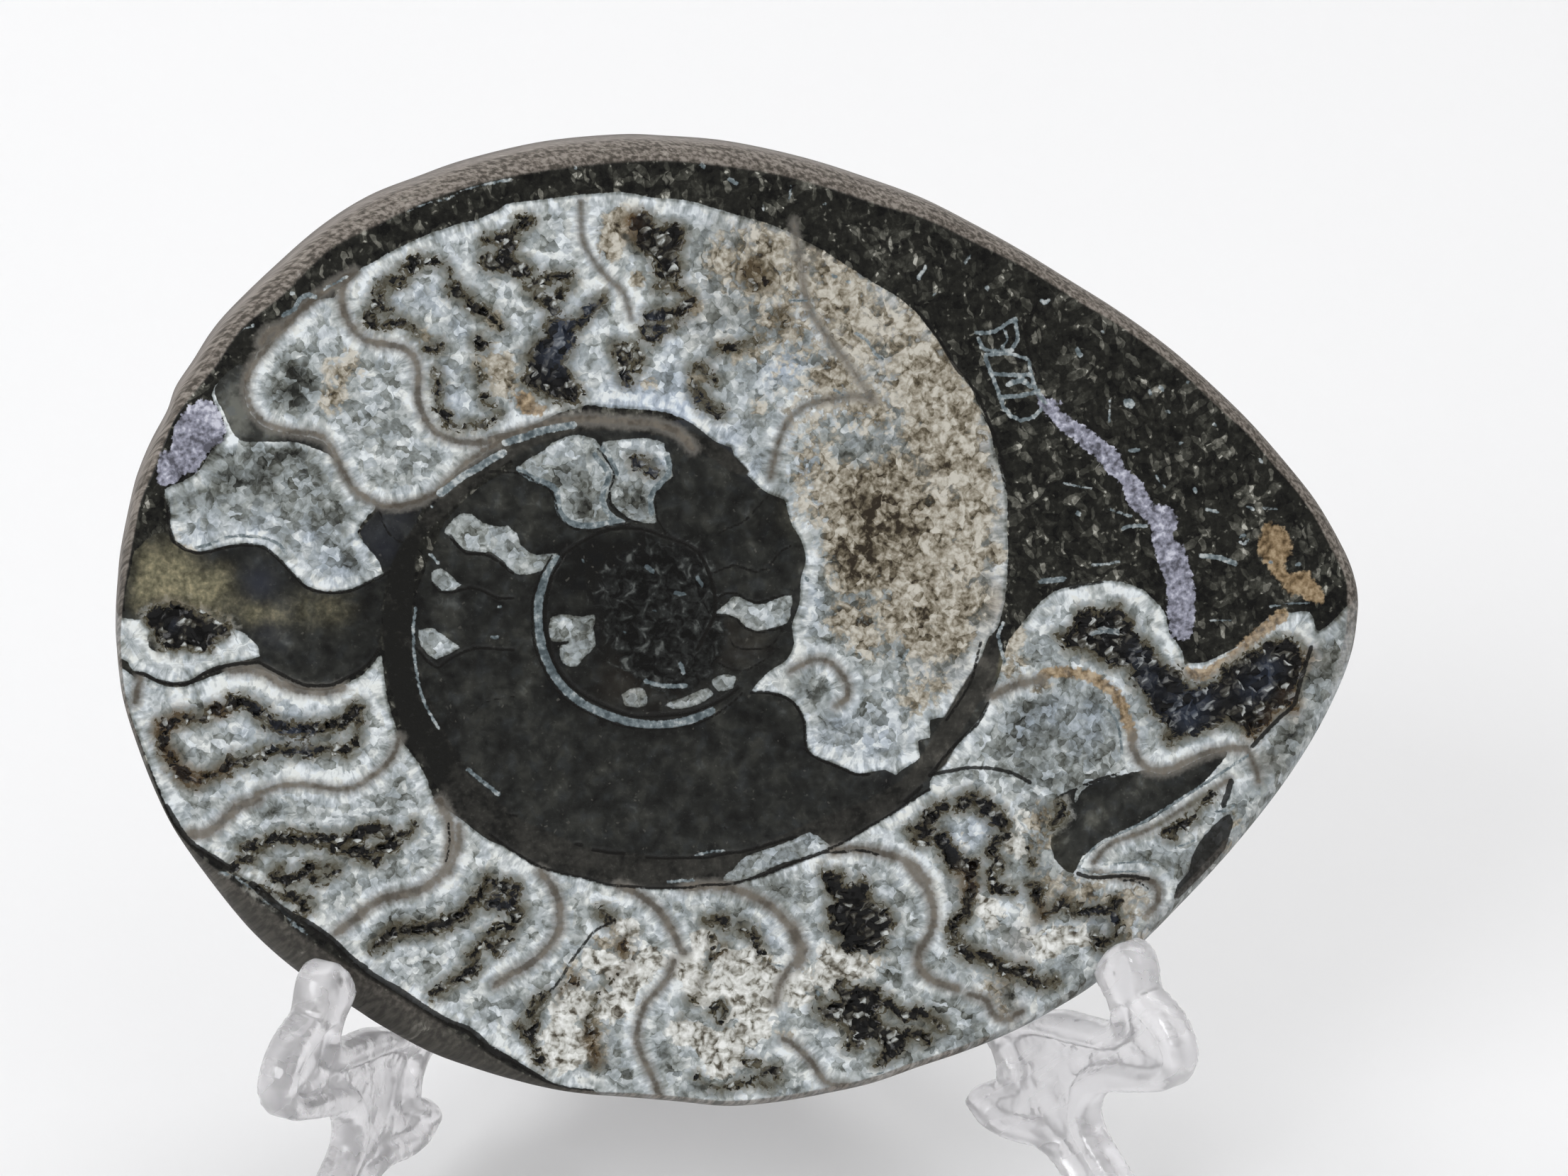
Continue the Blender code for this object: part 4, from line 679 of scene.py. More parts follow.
# Soft spots of the face: each group's kind and strength, then its places and radii
SPOTS = """
tan 0.5: 8.4,26.1,2 9.5,22.7,1.8 14.1,19.3,2.5 10.7,17,1.8 7.3,19.7,1.4 22.6,-2.6,1.4 22.4,-4.4,1.1
22.8,-1.5,0.9 25.1,-5.5,0.9 |
tan 0.9: -10,31.8,0.9 -10.2,30.6,0.8 -9.3,32.5,0.7 -10.2,29.6,0.7 -8,27.5,0.6 -3.5,25.3,0.5 -19.5,24.3,0.6
8.4,10.6,2 9.5,8.1,2 10.7,5.4,2 9.5,3.5,1.6 13,11.3,2 14.5,8.1,2.3 12.3,7.6,1.8 13.6,3.8,1.8 8.4,6.3,1.4
10.7,10.8,1.4 |
tan 0.35: -1.1,29.3,1.4 1.1,27.5,1.6 2.7,24.3,1.4 2.7,30.6,1.4 -3.2,19.3,0.9 0.5,21.5,1.1 1.8,17.2,0.9
-7.3,19.3,0.9 -47.2,6,1.4 -44.9,6.3,1.4 -40.4,1.7,1.4 -42.2,1.7,1.4 -34.5,1.3,1.4 -32.2,1.3,1.4
-47.6,1.7,0.9 -9.3,-25.8,1.1 -8.6,-27.6,1.1 -10.9,-26.7,1.1 -13.2,-28.8,1.1 -11.6,-34,1.4 -11.8,-35.8,1.1
-0.7,-28.3,0.9 2.7,-28.8,1.1 4.1,-34.5,0.9 6.1,-29.9,1.1 11.8,-28.5,0.9 25.1,-18.5,1.4 25.1,-16.5,1.1
27.6,-23.1,1.6 29.9,-22.9,1.6 33.3,-23.8,1.6 33.3,-26.3,1.4 21.5,-31,1.1 22.6,-32.9,1.1 41.5,-17.4,0.9
41.3,-19.7,0.9 25.8,-22,1.1 |
tan 0.6: 15.4,20.7,1.4 16.3,18.2,1.6 15.4,15,2 18.1,16.8,1.1 17.6,14.1,1.8 13,0.4,2 15,-1.9,1.8
10.7,-1.9,1.4 9.5,-0.1,1.4 14.8,-6.5,1.4 8.2,-0.1,1.1 15.5,1.3,1.8 15.5,4.9,1.8 17.4,12.6,1.6
19.4,11.7,1.8 17.4,8.3,1.8 19.4,8.3,1.8 17.4,4.9,1.8 19.4,4.9,1.6 17.4,1.3,1.8 19.4,1.3,1.4 16.7,-1.9,1.6
18.3,-1.5,1.4 20.1,9.5,1.1 16.7,-5.5,0.9 -19.5,20.9,1.4 -18.5,19,1.1 -24.9,22.9,0.7 -31.3,20.4,1.4
-32.2,18.1,1.1 -19,20.6,0.9 |
tan 0.8: 21.3,5.5,0.6 21.5,4.9,0.5 -45.4,3.3,1.4 -43.5,3.1,1.4 -46.5,3.3,0.9 -41.3,3.8,1.1 -38.5,1,0.9
-36.7,0.9,0.9 -44.2,4.7,1.4 -42.6,2.6,1.1 -46.5,4.9,1.1 -47.2,3.1,1.1 |
tan 0.4: 8,27,3 13,24,3 16,20,3 3,29,2 18,16,3 9,19,2 6,13,2 |
tan 0.25: 5,27,3 4,22,3 6,17,2.5 0,29,3 6,9,2 |
shade -0.3: -38.1,14.2,1.1 -35.8,14.2,1.1 -41.3,14.3,1.1 -34,14.2,0.9 -42.2,8.8,1.1 -39.5,8.8,0.9
-34,9.5,1.6 -32.2,8.1,1.8 -31.7,9.9,1.4 -41.3,10.1,0.9 -31,4.9,1.4 1.8,12.6,1.1 3.4,10.8,1.1 2.7,13.5,0.9
6.8,-6.5,1.6 8.2,-7.6,1.4 5.7,-4.6,1.1 -0.5,6.7,1.4 1.8,7.6,1.4 46.2,-10.5,1.4 48.5,-5.3,1.1 49.4,-3,1.1
47.4,-8.3,1.1 49.6,-0.5,1.4 11,10,3 12,7,3 10,4,2.5 26.5,-13.5,1.6 29.5,-14.8,1.2 25.6,-16.8,1.4
25.4,-19,1.2 49.5,0.5,1.3 49,-2.5,1.3 47.8,-6,1.3 46,-9.5,1.3 44.5,-12.5,1.3 |
shade -0.35: -36,19.7,1.4 -36.7,18.1,1.4 -34.7,20.2,1.1 -14.3,11.7,1.4 -12.5,10.6,1.4 -12.7,9,1.1
-9.1,9.5,0.7 -9.3,11,0.7 -7.7,9.9,0.7 0,-24.7,0.9 5.2,-26.7,0.9 -1.1,-24.9,0.9 -10.5,-36.7,0.9
-16.6,-32.9,1.4 14.1,-26.7,1.4 16.3,-28.8,1.8 18.5,-31.3,2 23.1,-31.7,1.4 26.7,-29.9,1.4 28.5,-30.8,1.4
17.4,-34.5,2.3 19.9,-35.4,1.8 15.4,-36.3,1.4 -14.5,5.1,1.4 -15.7,2.9,1.4 -16,0.4,1.4 -15.6,-2.4,1.4
-14.4,-4.8,1.4 -12.4,-6.7,1.4 -9.7,-7.9,1.4 -6.4,-8.5,1.4 -3.2,-7.9,1.4 |
shade 0.25: -37.6,20.2,1.1 -33.5,23.8,1.6 -29,19.3,1.8 -31.3,21.5,1.4 -22,11.8,1.3 -18.5,14.4,1.3
-14,16,1.3 -9,16.2,1.3 -5,15.3,1.2 |
shade -0.5: -41.3,13.1,1.6 -38.1,13.1,1.8 -34.9,13.1,1.6 -33.1,12.2,1.1 -43.8,10.4,1.1 -43.8,11.5,0.9
-44.5,9,0.9 -40.4,11.3,1.1 -37.6,11.5,1.1 -9.1,2.6,4.1 -6.4,3.8,3.4 -9.1,-1.9,3.4 -5.2,-0.8,3
-10.9,4.5,2.3 -4.1,2.2,1.8 |
shade 0.15: -27.9,12.6,2.7 -30.1,13.1,1.8 -33.5,4.5,1.4 -34.7,6.5,1.1 -38.1,7.4,1.1 -43.1,8.3,0.9
-6.4,19.3,1.8 -5.5,21.5,1.4 -12.5,20.4,0.9 -11.4,19.3,1.1 3.9,19.3,2 2.7,20.4,1.4 10.7,-9.9,2.3
8.4,-10.5,1.4 6.8,3.1,1.4 6.1,9.5,1.4 14.1,-7.6,1.4 17,11,3 18.5,7,2.5 18.5,3,2.5 11,26,3 14,22,3
15.5,18,2.5 9,22.5,2 -12.5,32,2 -15,29,1.5 |
shade -0.25: -48.1,-5.5,0.7 -47.6,-8.7,0.9 -46.7,-11,1.1 -48.1,-6.9,0.9 -46,-12.8,1.1 |
shade 0.2: -29.5,-6.5,1.1 -29.2,-8.7,1.1 -41.3,-5.3,1.4 -35.8,-11.5,1.4 -31.7,-11.7,1.4 |
shade -0.2: 0.5,27.5,1.8 -2.7,18.1,1.1 1.6,24.7,1.4 2.7,23.1,1.1 -0.2,21.5,0.9 -15.5,29.3,0.9
-1.4,-23.1,1.6 -5.5,-24.5,1.4 -17.7,-31,1.8 13,-29.9,1.4 14.1,-34.5,1.4 -6.4,-35.6,1.4 5.5,-36.7,1.4
-9.1,-36.7,1.4 15.4,-24.2,1.4 33.3,-19.7,2 36.7,-20.8,1.4 35.6,-24.2,1.4 29.9,-23.1,1.4 27.6,-23.1,1.4
42.4,-15.4,1.4 |
shade -0.15: 26.2,-9.9,3.6 29.6,-11,2.7 24,-7.6,2 22.8,-11,2 -33.5,-16.7,1.4 -38.1,-19.7,1.4 -29,-21.5,1.4
-40.4,-19,0.9 -25.6,-24.9,1.4 |
shade 0.35: -7.3,-28.5,1.1 -9.1,-31.3,1.4 -14.3,-34,1.4 -3.6,-28.5,1.1 -0.5,-29.9,1.4 1.8,-34,1.4
-1.8,-35.8,1.4 -15,-35.4,0.9 1.1,-30.4,1.1 8,-28.1,1.1 |
shade 0.3: 22,-24.5,1.4 25.4,-26.7,1.6 28.1,-26.7,1.1 26.5,-28.1,1.1 23.1,-24,1.1 24.2,-24.7,0.9
18.5,-18.5,0.9 30.8,-19.5,0.9 16,-11,2 18.5,-7,2 20.5,-4,1.5 30,-16.5,2 33,-14.5,2 28.5,-18.5,1.6 |
shade 0.8: -40,18,2 -39.5,16,1.5 -37,15.2,1 -34,14.6,0.8 |
shade -0.32: -26.5,6,1.8 -27.3,3,1.9 -27.4,0,1.9 -27.2,-3,1.9 -26.6,-6,1.9 -25.6,-9,1.9 -24,-12,1.8 |
shade -0.12: -36.5,18.5,1.6 |
shade 0.34: -40,-5.5,2 -37,-5.3,1.6 -34.5,-5.4,1.6 |
shade -0.55: -38,-15,1.2 -26.5,-23,2 -28,-25,1.5 1.5,-23,1.8 3.5,-22,1.3 -35.5,18.5,1.4 |
cool 0.8: -14.5,21.5,1.8 -14.1,23.8,1.4 -12,25.2,0.9 -6.4,17.5,2 -9.8,17.9,1.8 -4.1,17.2,1.8 -8.2,18.4,1.1
-5.5,22.5,0.9 -5.5,20.4,1.1 -6.8,24,1.1 2.7,20,1.4 4.5,20.9,1.4 -0.5,14.7,1.4 |
cool 0.5: -27.2,25.6,0.9 -25.4,26.5,1.1 -24,25.6,1.1 -22.2,23.8,1.1 -23.1,20.4,0.9 -28.3,27.5,0.7
-22.2,17.5,1.1 -23.3,18.6,0.9 -29.5,7.2,1.4 -27.2,8.3,1.4 -28.1,6,1.1 -32.4,4.9,1.8 -34,7.2,1.4
-38.1,7.6,1.4 -42.6,7.2,1.4 -36.7,-9.2,1.4 -38.1,-6.5,0.9 -35.8,-7.8,1.4 -34.7,-9.4,1.4 -39.9,-8.3,1.1
-44.9,0.1,0.5 -31.3,4.5,1.1 -38.1,3.1,1.4 -36.3,1.3,0.9 -37.2,-0.5,1.4 -38.1,3.8,1.4 -7.5,12.6,1.4
-6.4,12.6,0.9 1.4,12.2,1.1 5.9,12.6,1.4 6.8,9.9,1.1 11.4,-10.1,2.7 8.4,-8.7,1.4 6.8,-10.1,1.1 6.4,1.7,1.1
6.1,-0.1,0.9 18.3,-18.1,1.1 19,-18.8,1.1 20.1,-17.4,1.4 21,-17.6,0.9 17.4,-17.6,0.7 22.4,-24.5,1.1
31.7,-25.4,0.9 29.9,-25.4,0.9 26.3,-26.7,1.1 |
cool -0.5: -44.5,-11.7,1.4 -45.4,-10.1,1.1 -43.3,-12.4,1.1 -45.8,-8,1.1 -44.5,-7.1,1.1 -41.3,-6.9,1.1
-46.7,-8.3,0.7 -41.3,-11.7,0.9 -9.3,-26.7,1.4 -10,-28.5,0.9 -13.2,-29.5,0.9 -11.8,-34.5,1.4 -11.6,-36,1.4
-0.7,-28.1,0.9 -8.2,-28.1,0.9 -14.1,-30.6,0.7 12,24,4 16,20,4 18,14,4 19,8,4 18,2,4 17,-3,3 12,10,4 2,31,3
8,29,3 |
cool -0.4: -0.7,-0.5,1.4 1.6,-1.9,1.4 -6.4,-4.2,3.4 -9.8,-5.3,1.8 -4.1,-3.7,1.8 0,-2.8,1.4 21.7,-31.3,1.4
23.1,-32.9,1.4 27.6,-22.6,1.4 25.4,-24.9,1.1 33.3,-23.5,1.4 40.1,-19.7,1.8 38.5,-21.5,1.4 22.6,-31.3,1.1
24.9,-16.3,0.9 |
cool 0.6: 33,-3.3,1.1 34.2,-5.3,1.4 42.8,-6.2,1.4 44.4,-5.5,1.4 36.5,-7.6,1.8 38.7,-7.1,1.4 37.8,-8.7,1.4
26.2,-7.6,1.4 29.6,-7.8,1.4 24,-9.2,1.8 28.7,-9.9,1.8 44.2,-4.4,0.9 |
cool -0.6: 45.3,-6.5,0.9 46.2,-6.9,0.9 44.4,-8.3,0.9 44,-9.4,0.7 47.8,-3.3,0.7 42.8,-10.1,0.7 49.5,0.5,1.5
48.5,-4,1.5 46.5,-8.5,1.5 44.5,-12.5,1.5 24,-27,2 19,-22,1.5 21,1,2 17,13,3 6,30,2 9,23,2 |
cool 0.4: 4.1,-19.2,1.4 6.1,-18.3,1.1 3.2,-26.7,0.9 0.5,-20.1,0.9 -2.5,-29.7,0.5 -19.1,-22.9,1.4
3.4,-25.4,0.9 |
cool -1: -8.6,31.8,1.3 -10,31,1 |
cool -0.22: 0,28,4 4,25,3 8,21,3 -3,24,3 |
chalk 1: -7.3,-28.1,1.4 -4.1,-28.5,1.4 -0.5,-29,1.6 0.5,-30.8,1.4 -2.3,-30.8,1.1 1.8,-34,1.6
-0.7,-35.6,1.6 -2.7,-34.5,1.4 -1.4,-37.4,1.1 3.2,-29.9,1.4 5,-30.4,1.4 -4.1,-34,1.1 1.8,-32.2,1.4
8,-28.5,1.4 10.2,-29,1.1 -8.6,-29.9,1.1 -9.1,-31.3,1.1 -13.2,-31.3,1.4 -14.5,-33.5,1.6 -13.6,-35.6,1.4
-10.9,-28.1,1.1 -12,-27.6,0.9 -8.6,-25.4,0.9 -2.7,-26.7,0.9 7.3,-29.9,0.9 1.1,-28.1,1.1 -10.2,-31.7,1.1
-14.3,-35.6,1.1 |
chalk 0.42: 22,-24.9,1.4 24,-24.9,1.4 26.7,-26.7,1.6 28.5,-26.7,1.4 25.4,-28.1,1.1 18.5,-18.1,0.9
23.5,-16.7,1.1 23.5,-19,1.1 20.8,-24,1.1 |
broken 1: -6.2,1.5,5 -5,-2.5,3.5 |
rim -0.7: 24,-35,6 31,-30.5,6 37.5,-24,6 43,-18,6 47.5,-12,6 50.5,-6,6 |
rim 1: -46.5,-12,4.5 -44,-18,4.5 -39.5,-24,4.5 -35,-28.5,4.5 -30,-32.5,4.5 -25,-35.5,4.5 -20,-37.5,4.5
-16,-38.5,4.5 |
rim 0.3: -49,-4,6 -49,3,6 -10,-40,6 0,-41,6 10,-40,6
"""


# ---- camera -----------------------------------------------------------------


def make_camera():
    forward = Vector((
        math.sin(CAMERA_YAW) * math.cos(CAMERA_PITCH),
        math.cos(CAMERA_YAW) * math.cos(CAMERA_PITCH),
        -math.sin(CAMERA_PITCH),
    ))
    level = Vector((math.cos(CAMERA_YAW), -math.sin(CAMERA_YAW), 0.0))
    above = level.cross(forward)
    right = level * math.cos(CAMERA_ROLL) + above * math.sin(CAMERA_ROLL)
    up = above * math.cos(CAMERA_ROLL) - level * math.sin(CAMERA_ROLL)
    to_face = (
        forward
        + right * ((FACE_CENTRE_PIXEL[0] - 0.5 * IMAGE_WIDTH) / FOCAL_PIXELS)
        - up * ((FACE_CENTRE_PIXEL[1] - 0.5 * IMAGE_HEIGHT) / FOCAL_PIXELS)
    )
    camera = new_object("camera", bpy.data.cameras.new("camera"))
    camera.data.sensor_width = SENSOR_WIDTH
    camera.data.lens = SENSOR_WIDTH * FOCAL_PIXELS / IMAGE_WIDTH
    camera.data.clip_start = CLIP_START
    turn = Matrix((right, up, -forward)).transposed().to_4x4()
    camera.matrix_world = Matrix.Translation((FACE_CENTRE - to_face * FACE_DISTANCE) * MM) @ turn
    bpy.context.scene.camera = camera


def new_object(name, data):
    obj = bpy.data.objects.new(name, data)
    bpy.context.scene.collection.objects.link(obj)
    return obj


make_camera()


# ---- what is where on the face ----------------------------------------------


def near(points, curve, closed):
    """Each point's distance to a curve, up to REACH, and how far along the curve that is."""
    best = np.full(len(points), REACH * REACH)
    place = np.zeros(len(points))
    ends = np.roll(curve, -1, 0) if closed else curve[1:]
    runs = ends - curve[: len(ends)]
    lengths = np.hypot(*runs.T)
    before = np.concatenate([[0.0], np.cumsum(lengths)])
    for first in range(0, len(ends), RUNS_AT_ONCE):
        part = slice(first, first + RUNS_AT_ONCE)
        both = np.vstack([curve[: len(ends)][part], ends[part]])
        close = close_to(points, both)
        for i in range(first, min(first + RUNS_AT_ONCE, len(ends))):
            away = points[close] - curve[i]
            part_way = np.clip(away @ runs[i] / max(lengths[i] ** 2, 1e-9), 0, 1)
            away -= part_way[:, None] * runs[i]
            reach = (away * away).sum(1)
            nearer = reach < best[close]
            best[close[nearer]] = reach[nearer]
            place[close[nearer]] = before[i] + part_way[nearer] * lengths[i]
    return np.sqrt(best), place


def close_to(points, curve):
    """Which points lie in a curve's box, widened by REACH."""
    low, high = curve.min(0) - REACH, curve.max(0) + REACH
    return np.flatnonzero(((points > low) & (points < high)).all(1))


def within(points, loop):
    inside = np.zeros(len(points), bool)
    for a, b in zip(loop, np.roll(loop, -1, 0)):
        if a[1] == b[1]:
            continue
        crosses = (a[1] > points[:, 1]) != (b[1] > points[:, 1])
        inside ^= crosses & (points[:, 0] < (b[0] - a[0]) * (points[:, 1] - a[1]) / (b[1] - a[1]) + a[0])
    return inside


def entries(text):
    """Each entry's kind, number and points."""
    for entry in text.split("|"):
        label, places = entry.split(":")
        kind, number, *_ = label.split()
        yield kind, float(number), read_path(places)


def face_fields(points):
    """How deep each point is in each kind of material, in millimetres, and its way to the nearest wall."""
    fields = {"shore": np.full(len(points), REACH), "along": np.zeros(len(points))}
    for number, (kind, width, course) in enumerate(entries(OUTLINES)):
        curve = smooth_curve(course, not width, CURVE_STEP)
        field = fields.setdefault(kind, np.full(len(points), -REACH))
        close = close_to(points, curve)
        reach, place = near(points[close], curve, not width)
        if kind in SHORES:
            nearer = reach < fields["shore"][close]
            fields["shore"][close[nearer]] = reach[nearer]
            fields["along"][close[nearer]] = place[nearer] + SHORE_OFFSET * number
        if width:
            reach = 0.5 * width - reach
        else:
            reach[~within(points[close], curve)] *= -1
        field[close] = np.maximum(field[close], reach)
    return fields


def face_spots(points):
    """How strongly each soft spot of the face works on each point, from -1 to 1."""
    spots = {}
    for kind, strength, places in entries(SPOTS):
        spot = spots.setdefault(kind, np.zeros(len(points)))
        for x, t, radius in places:
            spot += strength * np.exp(-SPOT_FALL * ((points - (x, t)) ** 2).sum(1) / radius**2)
    return {kind: np.clip(spot, -1, 1) for kind, spot in spots.items()}


# ---- the slab's mesh --------------------------------------------------------


def lattice(low, high, spacing):
    """Rows of staggered points, with those of a lattice twice as wide marked."""
    rows = np.arange(low[1], high[1], spacing * ROW_HEIGHT)
    columns = np.arange(low[0], high[0], spacing)
    x, y = np.meshgrid(columns, rows)
    row, column = np.mgrid[: len(rows), : len(columns)]
    x = x + np.where(row % 2, 0.5 * spacing, 0.0)
    wide = (row % 2 == 0) & ((column + row // 2) % 2 == 0)
    return np.column_stack([x.ravel(), y.ravel()]), wide.ravel()


def triangles_of(points, rim):
    """Triangles through all the points, inside the loop of the first ones."""
    found = geometry.delaunay_2d_cdt([Vector(p) for p in points], [], [tuple(range(rim))], 1, SAME_PLACE)
    if len(found[0]) != len(points):
        raise RuntimeError("the filling moved points")
    return [tuple(face) for face in found[2]]


def filled(loop, spacing, detailed):
    """Points and triangles that fill a star-shaped loop; the loop's points come first."""
    inner, wide = lattice(loop.min(0), loop.max(0), spacing)
    limit = radii(loop, np.arctan2(inner[:, 1], inner[:, 0]))
    kept = np.hypot(*inner.T) < limit - SLAB_CLEARANCE * spacing
    inner, wide = inner[kept], wide[kept]
    if detailed:
        for kind, field in face_fields(inner).items():
            if kind not in ("shore", "along"):
                wide = wide | (np.abs(field) < NEAR_DETAIL)
        inner = inner[wide]
    return inner, triangles_of(np.vstack([loop, inner]), len(loop))


def on_map(x, t, layout):
    size, (left, low), (x_there, t_there) = layout
    return (left + (x - x_there) / size, low + (t - t_there) / size)


def slab_mesh():
    """Points as (x, t, depth), faces, and each face's corners on the texture map."""
    angles = np.linspace(-math.pi, math.pi, SPOKES, endpoint=False)
    face, rim = (
        radii(smooth_curve(read_path(edge), True, EDGE_STEP), angles) for edge in (FACE_EDGE, RIM_EDGE))
    unit = np.column_stack([np.cos(angles), np.sin(angles)])
    rings = [(0.0, face)]
    for step in range(1, RIM_STEPS + 1):
        turn = 0.5 * math.pi * step / RIM_STEPS
        rings.append((RIM_DEPTH * (1 - math.cos(turn)), face + (rim - face) * math.sin(turn)))
    rings += [(depth, rim + outside) for depth, outside in SIDE_PROFILE]
    across = np.cumsum([0.0] + [
        math.hypot(b[0] - a[0], float(np.mean(b[1] - a[1]))) for a, b in zip(rings, rings[1:])])
    points = [np.column_stack([unit * reach[:, None], np.full(SPOKES, depth)]) for depth, reach in rings]
    faces, corners = [], []
    for ring in range(len(rings) - 1):
        for i in range(SPOKES):
            a, b = ring * SPOKES + i, ring * SPOKES + (i + 1) % SPOKES
            faces.append((a, a + SPOKES, b + SPOKES, b))
            column, row = divmod(i, SPOKES // 2)
            left, right = (
                SIDE_MAP_LEFT + SIDE_MAP_COLUMN * column + across[r] / FRONT_MAP[0] for r in (ring, ring + 1))
            low, high = (SIDE_MAP_LOW + 2 * SIDE_MAP_HEIGHT * r / SPOKES for r in (row, row + 1))
            corners += [(left, low), (right, low), (right, high), (left, high)]
    for depth, spacing, front in ((0.0, FINE_SPACING, True), (THICKNESS, BACK_SPACING, False)):
        ring = 0 if front else len(rings) - 1
        loop = unit * rings[ring][1][:, None]
        inner, triangles = filled(loop, spacing, front)
        start = sum(map(len, points)) - SPOKES
        points.append(np.column_stack([inner, np.full(len(inner), depth)]))
        plane = np.vstack([loop, inner])
        for triangle in triangles:
            turned = triangle if front else triangle[::-1]
            faces.append(tuple(i + (ring * SPOKES if i < SPOKES else start) for i in turned))
            corners += [on_map(*plane[i], FRONT_MAP if front else BACK_MAP) for i in turned]
    return np.vstack(points), faces, corners


def swirl(flat, scale, level, octaves=4):
    """Soft noise of about -1 to 1 at each point of the face."""
    return np.array([
        noise.fractal(Vector((x * scale, t * scale, level)), SWIRL_FALL, SWIRL_STEP, octaves)
        for x, t in flat])


def sink(plan, fields, spots):
    """How far each point of the face lies below the polish."""
    rough = np.array([
        noise.noise(Vector((x * ROUGH_SCALE, t * ROUGH_SCALE, ROUGH_LEVEL))) for x, t, _ in plan])
    crag = np.array([
        noise.cell(Vector((x * CRAG_SCALE + CRAG_WARP * r, t * CRAG_SCALE, CRAG_LEVEL)))
        for (x, t, _), r in zip(plan, rough)])
    druse = np.clip(fields["druse"] / DRUSE_SHORE + DRUSE_ROUGH * rough, 0, 1)
    down = druse * (DRUSE_SUNK + DRUSE_CRAGS * crag)
    down += np.clip(spots["chalk"] - CRUST_FROM, 0, 1) * (
        CRUST_SUNK + CRUST_CRAGS * np.clip(rough + CRUST_ROUGH, 0, 1))
    down += np.clip((fields["dark"] + CRACK_EDGE) / CRACK_SHORE, 0, 1) * CRACK_SUNK
    return np.where(plan[:, 2] < ON_FACE, down, 0.0)


def make_slab():
    plan, faces, corners = slab_mesh()
    flat = plan[:, :2]
    fields = face_fields(flat)
    fields["drift"] = swirl(flat, *DRIFT)
    fields["patch"] = swirl(flat, *PATCH)
    fields["druse"] = fields["druse"] + DRUSE_DRIFT * fields["drift"] + DRUSE_PATCH * fields["patch"]
    spots = face_spots(flat)
    depth = plan[:, 2] + sink(plan, fields, spots)
    mesh = bpy.data.meshes.new("fossil")
    mesh.from_pydata([on_face(x, t, d) for (x, t), d in zip(flat, depth)], [], faces)
    mesh.update()
    corner_map = mesh.uv_layers.new(name="OFBake")
    corner_map.data.foreach_set("uv", np.array(corners, np.float32).ravel())
    for name, values in {**fields, **spots, "depth": plan[:, 2]}.items():
        mesh.attributes.new(name, "FLOAT", "POINT").data.foreach_set("value", values.astype(np.float32))
    mesh.shade_smooth()
    sharp = mesh.attributes.new("sharp_edge", "BOOLEAN", "EDGE")
    ends = np.empty(2 * len(mesh.edges), np.int32)
    mesh.edges.foreach_get("vertices", ends)
    ends = ends.reshape(-1, 2)
    outer = SPOKES * (RIM_STEPS + len(SIDE_PROFILE))
    at_face = (ends < SPOKES).all(1)
    at_back = ((ends >= outer) & (ends < outer + SPOKES)).all(1)
    sharp.data.foreach_set("value", at_face | at_back)
    return new_object("fossil", mesh)


# ---- materials --------------------------------------------------------------


def srgb(red, green, blue):
    def linear(value):
        value /= 255.0
        return value / 12.92 if value <= 0.04045 else ((value + 0.055) / 1.055) ** 2.4

    return (linear(red), linear(green), linear(blue), 1.0)


# The stone's noises: how many features per millimetre, detail, roughness and distortion
FINE, MID, BLOB, GRIT = (2.3, 3.0, 0.55), (0.95, 2.0, 0.6, 0.6), (0.5, 2.0, 0.6, 0.5), (5.0, 2.0, 0.6)
GRAINS, SMALL_GRAINS, FACETS = 1.35, 2.9, 2.0
WARP, GRAIN_WARP, FACET_WARP = 1.3, 0.55, 0.4
FIBRES_ALONG, FIBRES_IN = 1.8, 0.6
# The broken shells in the rock: cells per millimetre, how few show, how pale, and which way they lie
SHARDS = ((0.8, 0.62, 0.3, 0.5), (1.1, 0.66, 0.34, -0.8), (1.6, 0.72, 0.4, 1.7))
SHARD_LONG, SHARD_SHORT = 0.5, 1.4
# How the stone is polished and ground; a bump is its height in metres and its strength
POLISH, GROUND_ROUGHNESS, STONE_SPECULAR = 0.24, 0.62, 0.2
GRIND_WAY, GRIND_FINENESS = (0.15, -0.13, 0.0), 3.2
STONE_BUMP, PLASTIC_BUMP = (0.001, 0.6), (0.0003, 0.25)
# How far the pattern moves sideways and up for each millimetre into the stone
PATTERN_SHEAR = 0.7

# Colours from the darkest to the lightest tone of each kind of stone
CRYSTAL_TONES = ((0.0, (33, 34, 32)), (0.22, (78, 81, 78)), (0.42, (118, 124, 124)),
                 (0.62, (153, 161, 164)), (0.8, (186, 193, 198)), (1.0, (227, 233, 236)))
TAN_TONES = ((0.0, (48, 41, 32)), (0.22, (100, 92, 76)), (0.45, (150, 143, 128)), (0.8, (199, 195, 184)))
CRUST_TONES = ((0.1, (70, 64, 54)), (0.3, (132, 129, 119)), (0.5, (190, 190, 184)), (0.9, (238, 239, 236)))
ROCK_TONES = ((0.0, (10, 10, 9)), (0.3, (34, 34, 30)), (0.5, (62, 62, 56)), (0.75, (112, 111, 103)),
              (1.0, (180, 179, 170)))
MUD_TONES = ((0.0, (18, 18, 17)), (0.3, (34, 35, 33)), (0.6, (54, 55, 52)), (1.0, (104, 105, 99)))
KHAKI_TONES = ((0.2, (80, 77, 60)), (0.5, (116, 112, 90)), (0.85, (156, 147, 118)))
CORE_TONES = ((0.1, (10, 10, 9)), (0.4, (26, 27, 26)), (0.7, (44, 46, 45)), (1.0, (86, 89, 87)))
BAND_TONES = ((0.1, (22, 22, 20)), (0.5, (58, 57, 53)), (0.9, (104, 101, 94)))
